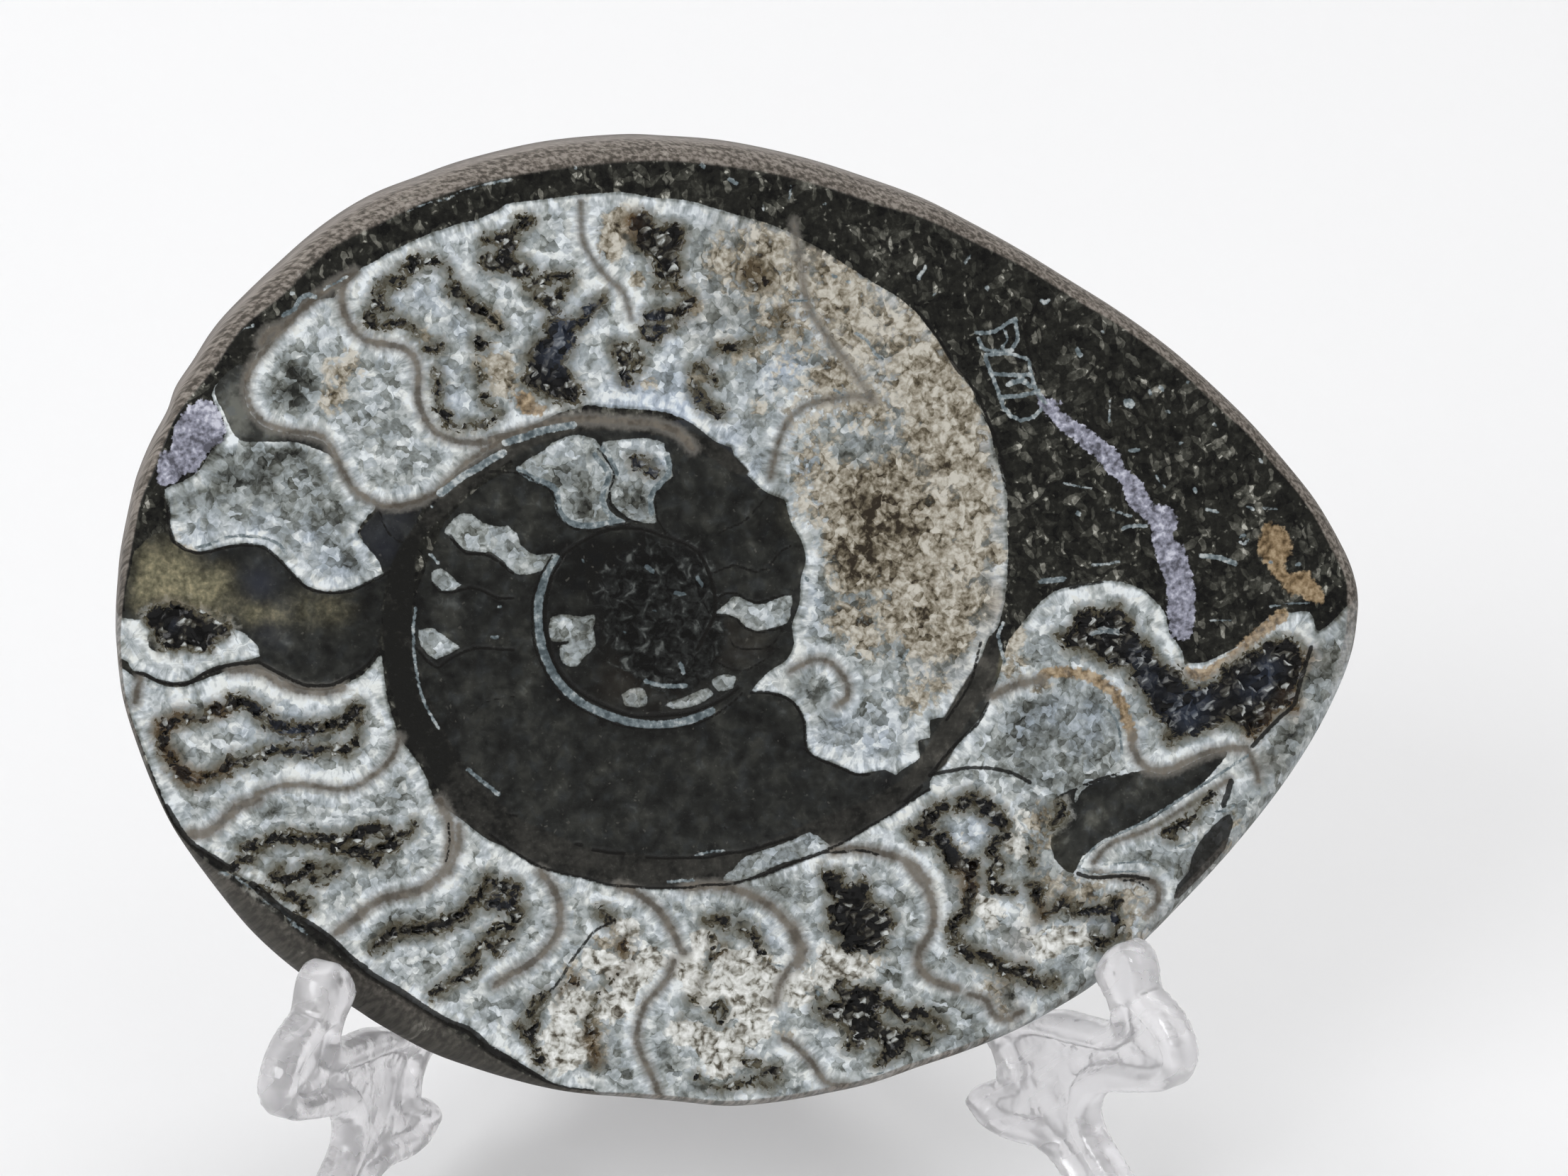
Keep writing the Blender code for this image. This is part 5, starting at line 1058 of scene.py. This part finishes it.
# The druses: their near-black is partly painted shade inside the sunk hollows, and their palest cells are
# painted glints on crystal facets
DRUSE_SHADE_AND_GLINT_TONES = ((0.0, (5, 5, 5)), (0.42, (12, 11, 10)), (0.56, (42, 39, 32)), (0.72, (92, 91, 84)),
               (0.88, (192, 196, 194)))
LILAC_TONES = ((0.2, (84, 84, 93)), (0.42, (124, 125, 138)), (0.66, (156, 157, 172)), (0.9, (200, 201, 213)))
OCHRE_TONES = ((0.15, (84, 68, 46)), (0.5, (140, 119, 90)), (0.85, (178, 158, 128)))
# Pale flecks and linings of the stone, and the painted highlight along the face's edge
PALE_AND_EDGE_HIGHLIGHT_TONES = ((0.1, (72, 82, 86)), (0.5, (114, 125, 129)), (0.9, (186, 191, 191)))
GROUND_TONES = ((0.3, (80, 74, 67)), (0.5, (122, 114, 106)), (0.7, (156, 148, 140)))

# Single colours laid over them
CREAM, SKY_BLUE, LEATHER = srgb(246, 236, 214), srgb(166, 178, 204), srgb(150, 126, 94)
MUD_WARM, MUD_COOL, MUD_SPECKS = srgb(255, 250, 236), srgb(226, 236, 255), srgb(104, 102, 96)
MUD_BLUE, MUD_BROWN = srgb(56, 60, 72), srgb(50, 42, 33)
DRUSE_BLUE, DRUSE_BROWN = srgb(56, 66, 84), srgb(58, 43, 29)
WALL_EDGE, WALL_DARK, WALL_LIGHT = srgb(116, 113, 107), srgb(74, 67, 58), srgb(112, 105, 95)
HALO_KHAKI, HALO_BROWN = srgb(94, 88, 70), srgb(106, 82, 52)
CRACK = srgb(17, 16, 14)
RIM_PALE, RIM_BEHIND, RIM_DARK, RIM_GREY = (
    srgb(166, 157, 151), srgb(82, 78, 72), srgb(60, 58, 54), srgb(84, 81, 75))
SAWN = srgb(215, 212, 206)


class Look:
    """A material under construction, and short forms for its nodes."""

    def __init__(self, name):
        self.material = bpy.data.materials.new(name)
        self.material.use_nodes = True
        self.tree = self.material.node_tree
        self.shader = self.tree.nodes["Principled BSDF"]
        place = self.tree.nodes.new("ShaderNodeTexCoord").outputs["Object"]
        across, up, into = (
            self.vector("DOT_PRODUCT", place, way / MM) for way in (ACROSS, UP_FACE, INTO))
        self.place = self.joined(*(
            self.math("MULTIPLY_ADD", into, PATTERN_SHEAR, part) for part in (across, up)))

    def put(self, socket, value):
        if isinstance(value, bpy.types.NodeSocket):
            self.tree.links.new(value, socket)
        else:
            socket.default_value = value

    def vector(self, operation, *values, **named):
        made = self.tree.nodes.new("ShaderNodeVectorMath")
        made.operation = operation
        for socket, value in zip(made.inputs, values):
            self.put(socket, value)
        for name, value in named.items():
            self.put(made.inputs[name], value)
        return made.outputs["Value" if operation == "DOT_PRODUCT" else "Vector"]

    def joined(self, x, y):
        made = self.tree.nodes.new("ShaderNodeCombineXYZ")
        self.put(made.inputs[0], x)
        self.put(made.inputs[1], y)
        return made.outputs[0]

    def math(self, operation, *values):
        made = self.tree.nodes.new("ShaderNodeMath")
        made.operation = operation
        for socket, value in zip(made.inputs, values):
            self.put(socket, value)
        return made.outputs[0]

    def times(self, first, second):
        return self.math("MULTIPLY", first, second)

    def shifted(self, value, *changes):
        """A value with others added to it, each in its own amount."""
        for amount, change in changes:
            value = self.math("MULTIPLY_ADD", change, amount, value)
        return value

    def field(self, name):
        made = self.tree.nodes.new("ShaderNodeAttribute")
        made.attribute_name = name
        return made.outputs["Fac"]

    def noise_node(self, scale, detail=3.0, roughness=0.5, distortion=0.0, place=None):
        made = self.tree.nodes.new("ShaderNodeTexNoise")
        made.noise_dimensions = "2D"
        self.put(made.inputs["Vector"], place or self.place)
        self.put(made.inputs["Scale"], scale)
        self.put(made.inputs["Detail"], detail)
        self.put(made.inputs["Roughness"], roughness)
        self.put(made.inputs["Distortion"], distortion)
        return made

    def noise(self, *settings, **named):
        return self.noise_node(*settings, **named).outputs["Fac"]

    def even_noise(self, *settings, **named):
        """Noise that adds as much as it takes away."""
        return self.math("SUBTRACT", self.noise(*settings, **named), 0.5)

    def warp(self, scale):
        """Noise that moves a place on the face both ways."""
        return self.vector("SUBTRACT", self.noise_node(scale, 1.0).outputs["Color"], (0.5, 0.5, 0.5))

    def moved(self, warp, amount):
        return self.vector("ADD", self.place, self.vector("SCALE", warp, Scale=amount))

    def cells(self, scale, place, metric="EUCLIDEAN"):
        """The distance to each cell's centre, and two random values for each cell."""
        made = self.tree.nodes.new("ShaderNodeTexVoronoi")
        made.voronoi_dimensions = "2D"
        made.distance = metric
        self.put(made.inputs["Vector"], place)
        self.put(made.inputs["Scale"], scale)
        split = self.tree.nodes.new("ShaderNodeSeparateColor")
        self.put(split.inputs[0], made.outputs["Color"])
        return made.outputs["Distance"], split.outputs[0], split.outputs[1]

    def step(self, value, low, high):
        """From 0 at low to 1 at high, which may be the lower number."""
        made = self.tree.nodes.new("ShaderNodeMapRange")
        made.interpolation_type = "SMOOTHSTEP"
        self.put(made.inputs["Value"], value)
        self.put(made.inputs["From Min"], low)
        self.put(made.inputs["From Max"], high)
        return made.outputs["Result"]

    def mix(self, amount, first, second, blend="MIX"):
        made = self.tree.nodes.new("ShaderNodeMix")
        made.data_type = "RGBA"
        made.blend_type = blend
        self.put(made.inputs["Factor"], amount)
        for number, colour in ((6, first), (7, second)):  # the node's two colour inputs
            self.put(made.inputs[number], colour)
        return made.outputs[2]

    def tinted(self, amount, colour, tint, strength=1.0, blend="MULTIPLY"):
        return self.mix(amount, colour, self.mix(strength, colour, tint, blend))

    def ramp(self, value, stops):
        made = self.tree.nodes.new("ShaderNodeValToRGB")
        points = made.color_ramp.elements
        while len(points) < len(stops):
            points.new(0.5)
        for point, (place, colour) in zip(points, stops):
            point.position = place
            point.color = srgb(*colour)
        self.put(made.inputs[0], value)
        return made.outputs[0]

    def bump(self, height, distance, strength):
        made = self.tree.nodes.new("ShaderNodeBump")
        made.inputs["Distance"].default_value = distance
        made.inputs["Strength"].default_value = strength
        self.put(made.inputs["Height"], height)
        self.put(self.shader.inputs["Normal"], made.outputs[0])


class Stone(Look):
    """The slab's material: what its parts share, and a colour for each of them."""

    def __init__(self):
        super().__init__("fossil_stone")
        self.fine, self.mid, self.blob = (self.even_noise(*kind) for kind in (FINE, MID, BLOB))
        self.grit = self.noise(*GRIT)
        self.shade, self.cool, self.tan, self.chalk, self.broken = (
            self.field(name) for name in ("shade", "cool", "tan", "chalk", "broken"))
        self.drift, self.patch, self.shore, self.along, self.depth = (
            self.field(name) for name in ("drift", "patch", "shore", "along", "depth"))
        self.cold = self.math("MAXIMUM", self.cool, 0.0)
        self.warm = self.math("MAXIMUM", self.times(self.cool, -1.0), 0.0)
        warp = self.warp(WARP)
        self.jagged = self.moved(warp, GRAIN_WARP)
        self.grain_far, self.grain_tone, self.grain_other = self.cells(GRAINS, self.jagged, "MANHATTAN")
        self.small_far, self.small_tone, _ = self.cells(SMALL_GRAINS, self.jagged, "MANHATTAN")
        self.facet_far, self.facet, self.facet_other = self.cells(FACETS, self.moved(warp, FACET_WARP))
        self.in_small = self.mask("inner", 0.2)

    def mask(self, name, ragged, soft=0.04):
        """Where one kind of material is, with a ragged edge."""
        return self.step(self.shifted(self.field(name), (ragged, self.fine)), -soft, soft)

    def crystals(self):
        """Pale crystals: a fibrous lining along the walls, and grains inside it."""
        rays = self.joined(self.times(self.along, FIBRES_ALONG), self.times(self.shore, FIBRES_IN))
        fibre = self.even_noise(1.0, 2.0, 0.6, place=rays)
        near_wall = self.shifted(
            self.shore, (1.1, self.in_small), (1.1, fibre), (0.7, self.mid), (0.5, self.fine))
        lining_tone = self.shifted(
            0.68, (0.9, fibre), (0.1, self.fine), (0.3, self.mid), (0.1, self.small_tone),
            (0.12, self.grain_tone), (0.1, self.patch), (-0.3, self.step(self.shore, 0.35, 0.05)))
        gaps = self.times(self.step(self.grain_far, 0.3, 0.6), self.grain_other)
        inner_tone = self.shifted(
            0.3, (0.45, self.mid), (0.14, self.fine), (0.42, self.grain_tone), (0.22, self.small_tone),
            (-0.12, gaps))
        light = self.mix(self.step(near_wall, 1.5, 1.15), inner_tone, lining_tone)
        druse = self.field("druse")
        round_druse = self.times(self.step(druse, -1.7, -1.1), self.step(druse, -0.45, -0.9))
        light = self.shifted(
            light, (0.55, self.shade), (0.14, self.drift), (0.1, self.patch), (0.13, round_druse))
        colour = self.ramp(light, CRYSTAL_TONES)
        colour = self.tinted(self.times(self.grain_other, 0.4), colour, CREAM)
        colour = self.tinted(self.times(self.cold, 0.55), colour, SKY_BLUE, 0.75, "OVERLAY")
        colour = self.tinted(self.warm, colour, LEATHER, 0.8)
        tan_grains = self.ramp(self.shifted(
            0.31, (0.7, self.fine), (1.2, self.mid), (0.4, self.grain_tone),
            (-0.12, self.step(self.grain_far, 0.3, 0.5)), (0.7, self.shade)), TAN_TONES)
        ragged = self.shifted(self.tan, (0.9, self.fine), (0.9, self.mid), (0.3, self.patch))
        colour = self.mix(
            self.times(self.step(self.tan, 0.02, 0.14), self.step(ragged, 0.1, 0.42)), colour, tan_grains)
        crust = self.ramp(self.shifted(
            0.52, (0.6, self.fine), (1.3, self.mid), (0.3, self.grain_tone), (-0.3, self.grain_far)),
            CRUST_TONES)
        ragged = self.shifted(self.chalk, (0.35, self.fine), (0.5, self.mid), (1.9, self.blob))
        return self.mix(
            self.times(self.step(self.chalk, 0.03, 0.16), self.step(ragged, 0.27, 0.36)), colour, crust)

    def rock(self):
        """Dark rock with broken shells."""
        tone = self.shifted(
            0.03, (0.14, self.drift), (0.4, self.fine), (0.35, self.mid), (0.2, self.grain_tone),
            (0.1, self.small_tone))
        for scale, limit, amount, turn in SHARDS:
            long, short = (
                (SHARD_LONG * math.cos(turn), SHARD_LONG * math.sin(turn), 0.0),
                (-SHARD_SHORT * math.sin(turn), SHARD_SHORT * math.cos(turn), 0.0))
            lying = self.joined(*(self.vector("DOT_PRODUCT", self.jagged, way) for way in (long, short)))
            far, pick, other = self.cells(scale, lying)
            piece = self.times(self.step(pick, limit, limit + 0.02), self.step(far, 0.5, 0.42))
            tone = self.shifted(tone, (amount, self.times(piece, other)))
        specks = self.times(self.step(self.small_tone, 0.93, 0.95), self.step(self.small_far, 0.45, 0.3))
        return self.ramp(self.shifted(tone, (0.35, specks), (0.35, self.shade)), ROCK_TONES)

    def mud(self):
        """Grey filling of the inner whorls, and the broken core."""
        colour = self.ramp(self.shifted(
            0.34, (0.3, self.drift), (0.22, self.patch), (0.18, self.fine), (0.5, self.mid),
            (0.8, self.shade)), MUD_TONES)
        colour = self.tinted(self.times(self.step(self.drift, 0.0, 0.5), 0.25), colour, MUD_WARM)
        colour = self.tinted(self.times(self.step(self.patch, 0.05, 0.5), 0.5), colour, MUD_COOL)
        specks = self.times(self.step(self.small_tone, 0.95, 0.97), self.step(self.small_far, 0.4, 0.25))
        colour = self.mix(self.times(specks, self.times(self.grain_other, 0.4)), colour, MUD_SPECKS)
        khaki = self.ramp(self.shifted(0.5, (1.0, self.fine), (0.8, self.mid)), KHAKI_TONES)
        colour = self.mix(self.times(self.tan, 0.95), colour, khaki)
        colour = self.mix(self.times(self.cold, 0.5), colour, MUD_BLUE)
        colour = self.mix(self.times(self.warm, 0.5), colour, MUD_BROWN)
        core = self.ramp(
            self.shifted(0.28, (2.2, self.mid), (0.9, self.fine), (0.2, self.grain_tone)), CORE_TONES)
        ragged = self.step(self.shifted(self.broken, (0.6, self.mid)), 0.25, 0.45)
        return self.mix(self.times(self.step(self.broken, 0.05, 0.2), ragged), colour, core)

    def band(self):
        """The shell between the whorls."""
        return self.ramp(self.shifted(
            0.28, (0.35, self.fine), (0.45, self.mid), (0.2, self.drift), (1.0, self.shade)), BAND_TONES)

    def dark_crystals_and_hollow_shade(self):
        # Dark crystals of the druses, with painted shade of their hollows and painted glints on the palest
        # facets
        tone = self.shifted(-0.06, (1.0, self.facet), (0.5, self.fine), (-0.3, self.facet_far))
        colour = self.ramp(tone, DRUSE_SHADE_AND_GLINT_TONES)
        colour = self.mix(self.times(self.cold, self.times(self.facet, 0.9)), colour, DRUSE_BLUE)
        return self.mix(self.times(self.warm, self.times(self.facet_other, 0.8)), colour, DRUSE_BROWN)

    def face(self):
        """The polished face's colour, and where it shows the druses: dark crystals, their near-black partly
        painted shade inside the sunk hollows.
        """
        crystals = self.crystals()
        tint = self.shifted(0.5, (1.2, self.fine), (0.9, self.mid), (0.3, self.patch), (0.6, self.shade))
        colour = self.mix(self.mask("calcite", 0.2), self.rock(), crystals)
        colour = self.mix(self.mask("mud", 0.2), colour, self.mud())
        colour = self.mix(self.mask("band", 0.2, 0.12), colour, self.band())
        colour = self.mix(self.in_small, colour, crystals)
        colour = self.mix(self.mask("lilac", 0.7, 0.06), colour, self.ramp(tint, LILAC_TONES))
        colour = self.mix(
            self.times(self.mask("ochre", 0.8, 0.14), 0.9), colour, self.ramp(tint, OCHRE_TONES))
        in_wall = self.shifted(self.field("wall"), (0.45, self.fine), (0.25, self.mid))
        colour = self.mix(self.times(self.step(in_wall, -0.65, 0.0), 0.7), colour, WALL_EDGE)
        wall = self.mix(
            self.step(self.shifted(self.drift, (1.0, self.mid)), -0.35, 0.35), WALL_DARK, WALL_LIGHT)
        worn = self.shifted(0.7, (0.5, self.mid), (0.5, self.fine))
        colour = self.mix(self.times(self.step(in_wall, -0.12, 0.14), worn), colour, wall)
        in_druse = self.shifted(
            self.field("druse"), (0.35, self.small_tone), (0.5, self.grain_tone), (0.7, self.fine),
            (-0.37, 1.0), (-0.9, self.chalk))
        # Where the druses show: dark crystals, partly painted shade of the sunk hollows
        dark = self.step(in_druse, -0.03, 0.05)
        halo = self.mix(self.warm, HALO_KHAKI, HALO_BROWN)
        colour = self.mix(
            self.times(self.step(in_druse, -0.8, -0.05), 0.82), colour, self.mix(0.3, halo, crystals))
        at_edge = self.times(self.step(self.shifted(in_druse, (0.8, self.mid)), 0.32, 0.12), 0.6)
        colour = self.mix(dark, colour, self.mix(at_edge, self.dark_crystals_and_hollow_shade(), halo))
        # Pale lines and flecks of the stone; those that hug the face's edge at the upper left, along the top
        # and at the bottom are painted highlight of the polished edge
        colour = self.mix(self.mask("pale", 0.25), colour, self.ramp(tint, PALE_AND_EDGE_HIGHLIGHT_TONES))
        return self.mix(self.times(self.mask("dark", 0.2), 0.93), colour, CRACK), dark

    def ground(self, face, grind):
        """The ground rim and side, and the sawn back."""
        colour = self.ramp(self.shifted(0.0, (1.0, grind), (1.3, self.fine)), GROUND_TONES)
        colour = self.mix(self.times(self.step(self.depth, 1.2, 2.4), 0.45), colour, RIM_PALE)
        colour = self.mix(self.times(self.step(self.depth, 3.2, 6.0), 0.5), colour, RIM_BEHIND)
        rim = self.field("rim")
        colour = self.mix(rim, colour, self.mix(self.step(self.fine, -0.2, 0.25), RIM_DARK, RIM_GREY))
        colour = self.mix(self.math("MAXIMUM", self.times(rim, -1.0), 0.22), colour, face)
        at_back = self.times(self.step(self.depth, 14.8, 14.95), 0.65)
        return self.mix(at_back, colour, self.mix(1.0, face, SAWN, "MULTIPLY"))

    def finish(self):
        face, dark = self.face()
        off_face = self.step(self.depth, 0.004, 0.05)
        strips = self.joined(
            self.vector("DOT_PRODUCT", self.place, GRIND_WAY), self.times(self.depth, GRIND_FINENESS))
        streaks = self.noise(1.0, 3.0, 0.6, place=strips)
        grind = self.math("MULTIPLY_ADD", streaks, 0.6, self.times(self.grit, 0.4))
        self.put(self.shader.inputs["Base Color"], self.mix(off_face, face, self.ground(face, grind)))
        polish = self.shifted(POLISH, (0.2, self.fine), (0.5, self.step(self.chalk, 0.35, 0.7)))
        roughness = self.math("MAXIMUM", polish, self.times(off_face, GROUND_ROUGHNESS))
        self.put(self.shader.inputs["Roughness"], roughness)
        self.shader.inputs["Specular IOR Level"].default_value = STONE_SPECULAR
        relief = self.shifted(
            self.times(self.grit, 0.018), (0.3, self.times(self.facet, dark)),
            (0.12, self.times(off_face, grind)))
        self.bump(relief, *STONE_BUMP)
        return self.material


fossil = make_slab()
fossil.data.materials.append(Stone().finish())
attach(fossil, "root")
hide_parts("fossil_slab")


# ---- the clear stand --------------------------------------------------------


def rounded(reach, radius):
    """Height of a quarter-round edge of this radius, from 0 to 1."""
    inward = np.clip(reach / radius, 0, 1)
    return np.sqrt(1 - (1 - inward) ** 2)


def frame_half_thickness(points, outline, panels):
    edge, _ = near(points, outline, True)
    half = 0.5 * FRAME_THICKNESS
    bead = EDGE_HALF + (half - EDGE_HALF) * rounded(edge, BEAD_RADIUS)
    web = 0.5 * WEB_THICKNESS * (1 + WEB_MOTTLE * swirl(points, *MOTTLE, 2))
    for panel in panels:
        deep, _ = near(points, panel, True)
        deep[~within(points, panel)] *= -1
        sunk = np.clip((deep + PANEL_SPREAD) / PANEL_SLOPE, 0, 1)
        sunk = sunk * sunk * (3 - 2 * sunk)
        bead = bead + (web - bead) * sunk
    return bead


def frame_place(side, face, s, z, thick):
    """A frame's point, in millimetres, kept clear of the slab that leans on its upright."""
    turn = Matrix.Rotation(side * FRAME_SPLAY, 3, "Z")
    forward = s * FRONT_STRETCH[side] if s < 0 else s
    place = FRAME_ORIGINS[side] + turn @ Vector((face * thick, forward, z))
    offset = place - FACE_CENTRE
    behind = offset.dot(INTO) + CONTACT_GAP
    if behind > 0 and HOOK_BAND[0] < offset.dot(UP_FACE) < HOOK_BAND[1] and s < FRONT_PART:
        along = turn @ Vector((0.0, 1.0, 0.0))
        place -= along * (behind / along.dot(INTO))
    return place


def make_frame(name, side):
    """A moulded plate with rounded edges and sunk panels, standing where its solid stands."""
    outline = np.vstack([smooth_curve(read_path(run), False, FRAME_STEP)[:-1] for run in FRAME_RUNS])
    panels = [smooth_curve(read_path(panel), True, FRAME_STEP) for panel in PANELS]
    inner, wide = lattice(outline.min(0), outline.max(0), FRAME_SPACING)
    by_edge, _ = near(inner, outline, True)
    by_panel = np.min([near(inner, panel, True)[0] for panel in panels], 0)
    kept = within(inner, outline) & (by_edge > FRAME_CLEARANCE * FRAME_SPACING)
    kept &= wide | (by_edge < NEAR_FRAME_EDGE) | (by_panel < NEAR_PANEL_EDGE)
    points = np.vstack([outline, inner[kept]])
    triangles = triangles_of(points, len(outline))
    half = frame_half_thickness(points, outline, panels)
    places = [
        frame_place(side, face, s, z, thick) * MM
        for face in (1, -1) for (s, z), thick in zip(points, half)]
    count, rim = len(points), len(outline)
    faces = triangles + [tuple(i + count for i in reversed(f)) for f in triangles]
    faces += [(i, i + count, (i + 1) % rim + count, (i + 1) % rim) for i in range(rim)]
    mesh = bpy.data.meshes.new(name)
    mesh.from_pydata(places, [], faces)
    mesh.validate()
    shape = bmesh.new()
    shape.from_mesh(mesh)
    bmesh.ops.recalc_face_normals(shape, faces=shape.faces)
    shape.to_mesh(mesh)
    shape.free()
    mesh.shade_smooth()
    return new_object(name, mesh)


def post_section():
    """The post's radius and height, from its lower end to its upper one."""
    section = [(POST_RADIUS * POST_CAP, 0.0), (POST_RADIUS - POST_EDGE, 0.0)]
    for step in range(1, POST_CORNER_STEPS + 1):
        turn = 0.5 * math.pi * step / POST_CORNER_STEPS
        section.append((POST_RADIUS - POST_EDGE * (1 - math.sin(turn)), POST_EDGE * (1 - math.cos(turn))))
    end = len(section)
    section += [(POST_RADIUS, POST_HEIGHT * step / POST_STEPS) for step in range(1, POST_STEPS)]
    return section + [(reach, POST_HEIGHT - height) for reach, height in reversed(section[:end])]


def slot_block(side):
    """A block that cuts the slot for one frame's rear edge."""
    turn = Matrix.Rotation(side * FRAME_SPLAY, 3, "Z")
    corners = [
        (FRAME_ORIGINS[side] + turn @ Vector((x, s, z))) * MM
        for x in (-SLOT_HALF_WIDTH, SLOT_HALF_WIDTH) for s in (SLOT_START, SLOT_END)
        for z in (SLOT_LOW, SLOT_HIGH)
    ]
    block = bpy.data.meshes.new("slot")
    block.from_pydata(corners, [], [
        (0, 1, 3, 2), (4, 6, 7, 5), (0, 4, 5, 1), (2, 3, 7, 6), (0, 2, 6, 4), (1, 5, 7, 3)])
    return new_object("slot", block)


def make_post():
    """The post behind, rounded at both ends and slotted for the frames' rear edges."""
    section, sides = post_section(), POST_SIDES
    points = [
        (POST_CENTRE[0] + reach * math.cos(math.tau * i / sides),
         POST_CENTRE[1] + reach * math.sin(math.tau * i / sides), height)
        for reach, height in section for i in range(sides)
    ]
    faces = [
        (r * sides + i, r * sides + (i + 1) % sides, (r + 1) * sides + (i + 1) % sides, (r + 1) * sides + i)
        for r in range(len(section) - 1) for i in range(sides)
    ]
    faces += [tuple(reversed(range(sides))), tuple(range((len(section) - 1) * sides, len(section) * sides))]
    mesh = bpy.data.meshes.new("rear_post")
    mesh.from_pydata([Vector(p) * MM for p in points], [], faces)
    post = new_object("rear_post", mesh)
    tools = [slot_block(side) for side in (-1, 1)]
    for tool in tools:
        cut = post.modifiers.new("slot", "BOOLEAN")
        cut.operation, cut.solver, cut.object = "DIFFERENCE", "EXACT", tool
    bpy.context.view_layer.update()
    finished = bpy.data.meshes.new_from_object(post.evaluated_get(bpy.context.evaluated_depsgraph_get()))
    post.modifiers.clear()
    post.data = finished
    for tool in tools:
        bpy.data.objects.remove(tool)
    finished.shade_smooth()
    finished.set_sharp_from_angle(angle=POST_SHARP)
    return post


def plastic_look():
    look = Look("stand_plastic")
    for name, value in PLASTIC.items():
        look.shader.inputs[name].default_value = value
    haze = look.step(look.noise(*HAZE), 0.4, 0.7)
    roughness = look.math("MULTIPLY_ADD", haze, HAZE_ROUGHNESS, PLASTIC_ROUGHNESS)
    look.put(look.shader.inputs["Roughness"], roughness)
    look.bump(look.noise(*WAVES), *PLASTIC_BUMP)
    return look.material


clear = plastic_look()
for name, side in (("left_frame", -1), ("right_frame", 1), ("rear_post", 0)):
    piece = make_frame(name, side) if side else make_post()
    piece.data.materials.clear()
    piece.data.materials.append(clear)
    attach(piece, "root")
    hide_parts("stand_" + name)


# ---- floor and light --------------------------------------------------------


def make_stage():
    """A floor that rises behind in one curve, in metres."""
    section = [(FLOOR_FRONT, 0.0), (FLOOR_BACK - FLOOR_CORNER, 0.0)]
    for step in range(1, FLOOR_STEPS + 1):
        turn = 0.5 * math.pi * step / FLOOR_STEPS
        section.append((
            FLOOR_BACK - FLOOR_CORNER + FLOOR_CORNER * math.sin(turn),
            FLOOR_CORNER - FLOOR_CORNER * math.cos(turn)))
    section.append((FLOOR_BACK, WALL_HEIGHT))
    points = [(x, y, z) for y, z in section for x in (-FLOOR_SIDE, FLOOR_SIDE)]
    faces = [(2 * i, 2 * i + 1, 2 * i + 3, 2 * i + 2) for i in range(len(section) - 1)]
    mesh = bpy.data.meshes.new("floor")
    mesh.from_pydata(points, [], faces)
    mesh.shade_smooth()
    floor = new_object("floor", mesh)
    material = bpy.data.materials.new("floor")
    material.use_nodes = True
    shader = material.node_tree.nodes["Principled BSDF"]
    shader.inputs["Base Color"].default_value = FLOOR_COLOUR
    shader.inputs["Roughness"].default_value = FLOOR_ROUGHNESS
    mesh.materials.append(material)


def area_light(name, place, target, size, power, colour):
    light = bpy.data.lights.new(name, "AREA")
    light.shape = "RECTANGLE"
    light.size, light.size_y = size
    light.energy = power
    light.color = colour
    obj = new_object(name, light)
    obj.location = place
    obj.rotation_euler = (Vector(target) - Vector(place)).to_track_quat("-Z", "Y").to_euler()


def make_sky():
    """Even light from all round, a little stronger from above."""
    world = bpy.data.worlds.new("world")
    world.use_nodes = True
    tree = world.node_tree
    place = tree.nodes.new("ShaderNodeTexCoord")
    parts = tree.nodes.new("ShaderNodeSeparateXYZ")
    tree.links.new(place.outputs["Generated"], parts.inputs[0])
    rise = tree.nodes.new("ShaderNodeMapRange")
    rise.interpolation_type = "SMOOTHSTEP"
    for name, value in zip(("From Min", "From Max", "To Min", "To Max"), SKY_RISE):
        rise.inputs[name].default_value = value
    tree.links.new(parts.outputs["Z"], rise.inputs["Value"])
    background = tree.nodes["Background"]
    background.inputs["Color"].default_value = SKY_COLOUR
    tree.links.new(rise.outputs["Result"], background.inputs["Strength"])
    bpy.context.scene.world = world


make_stage()
make_sky()
for lamp in LAMPS:
    area_light(*lamp)
bpy.context.scene.view_settings.view_transform = "Standard"
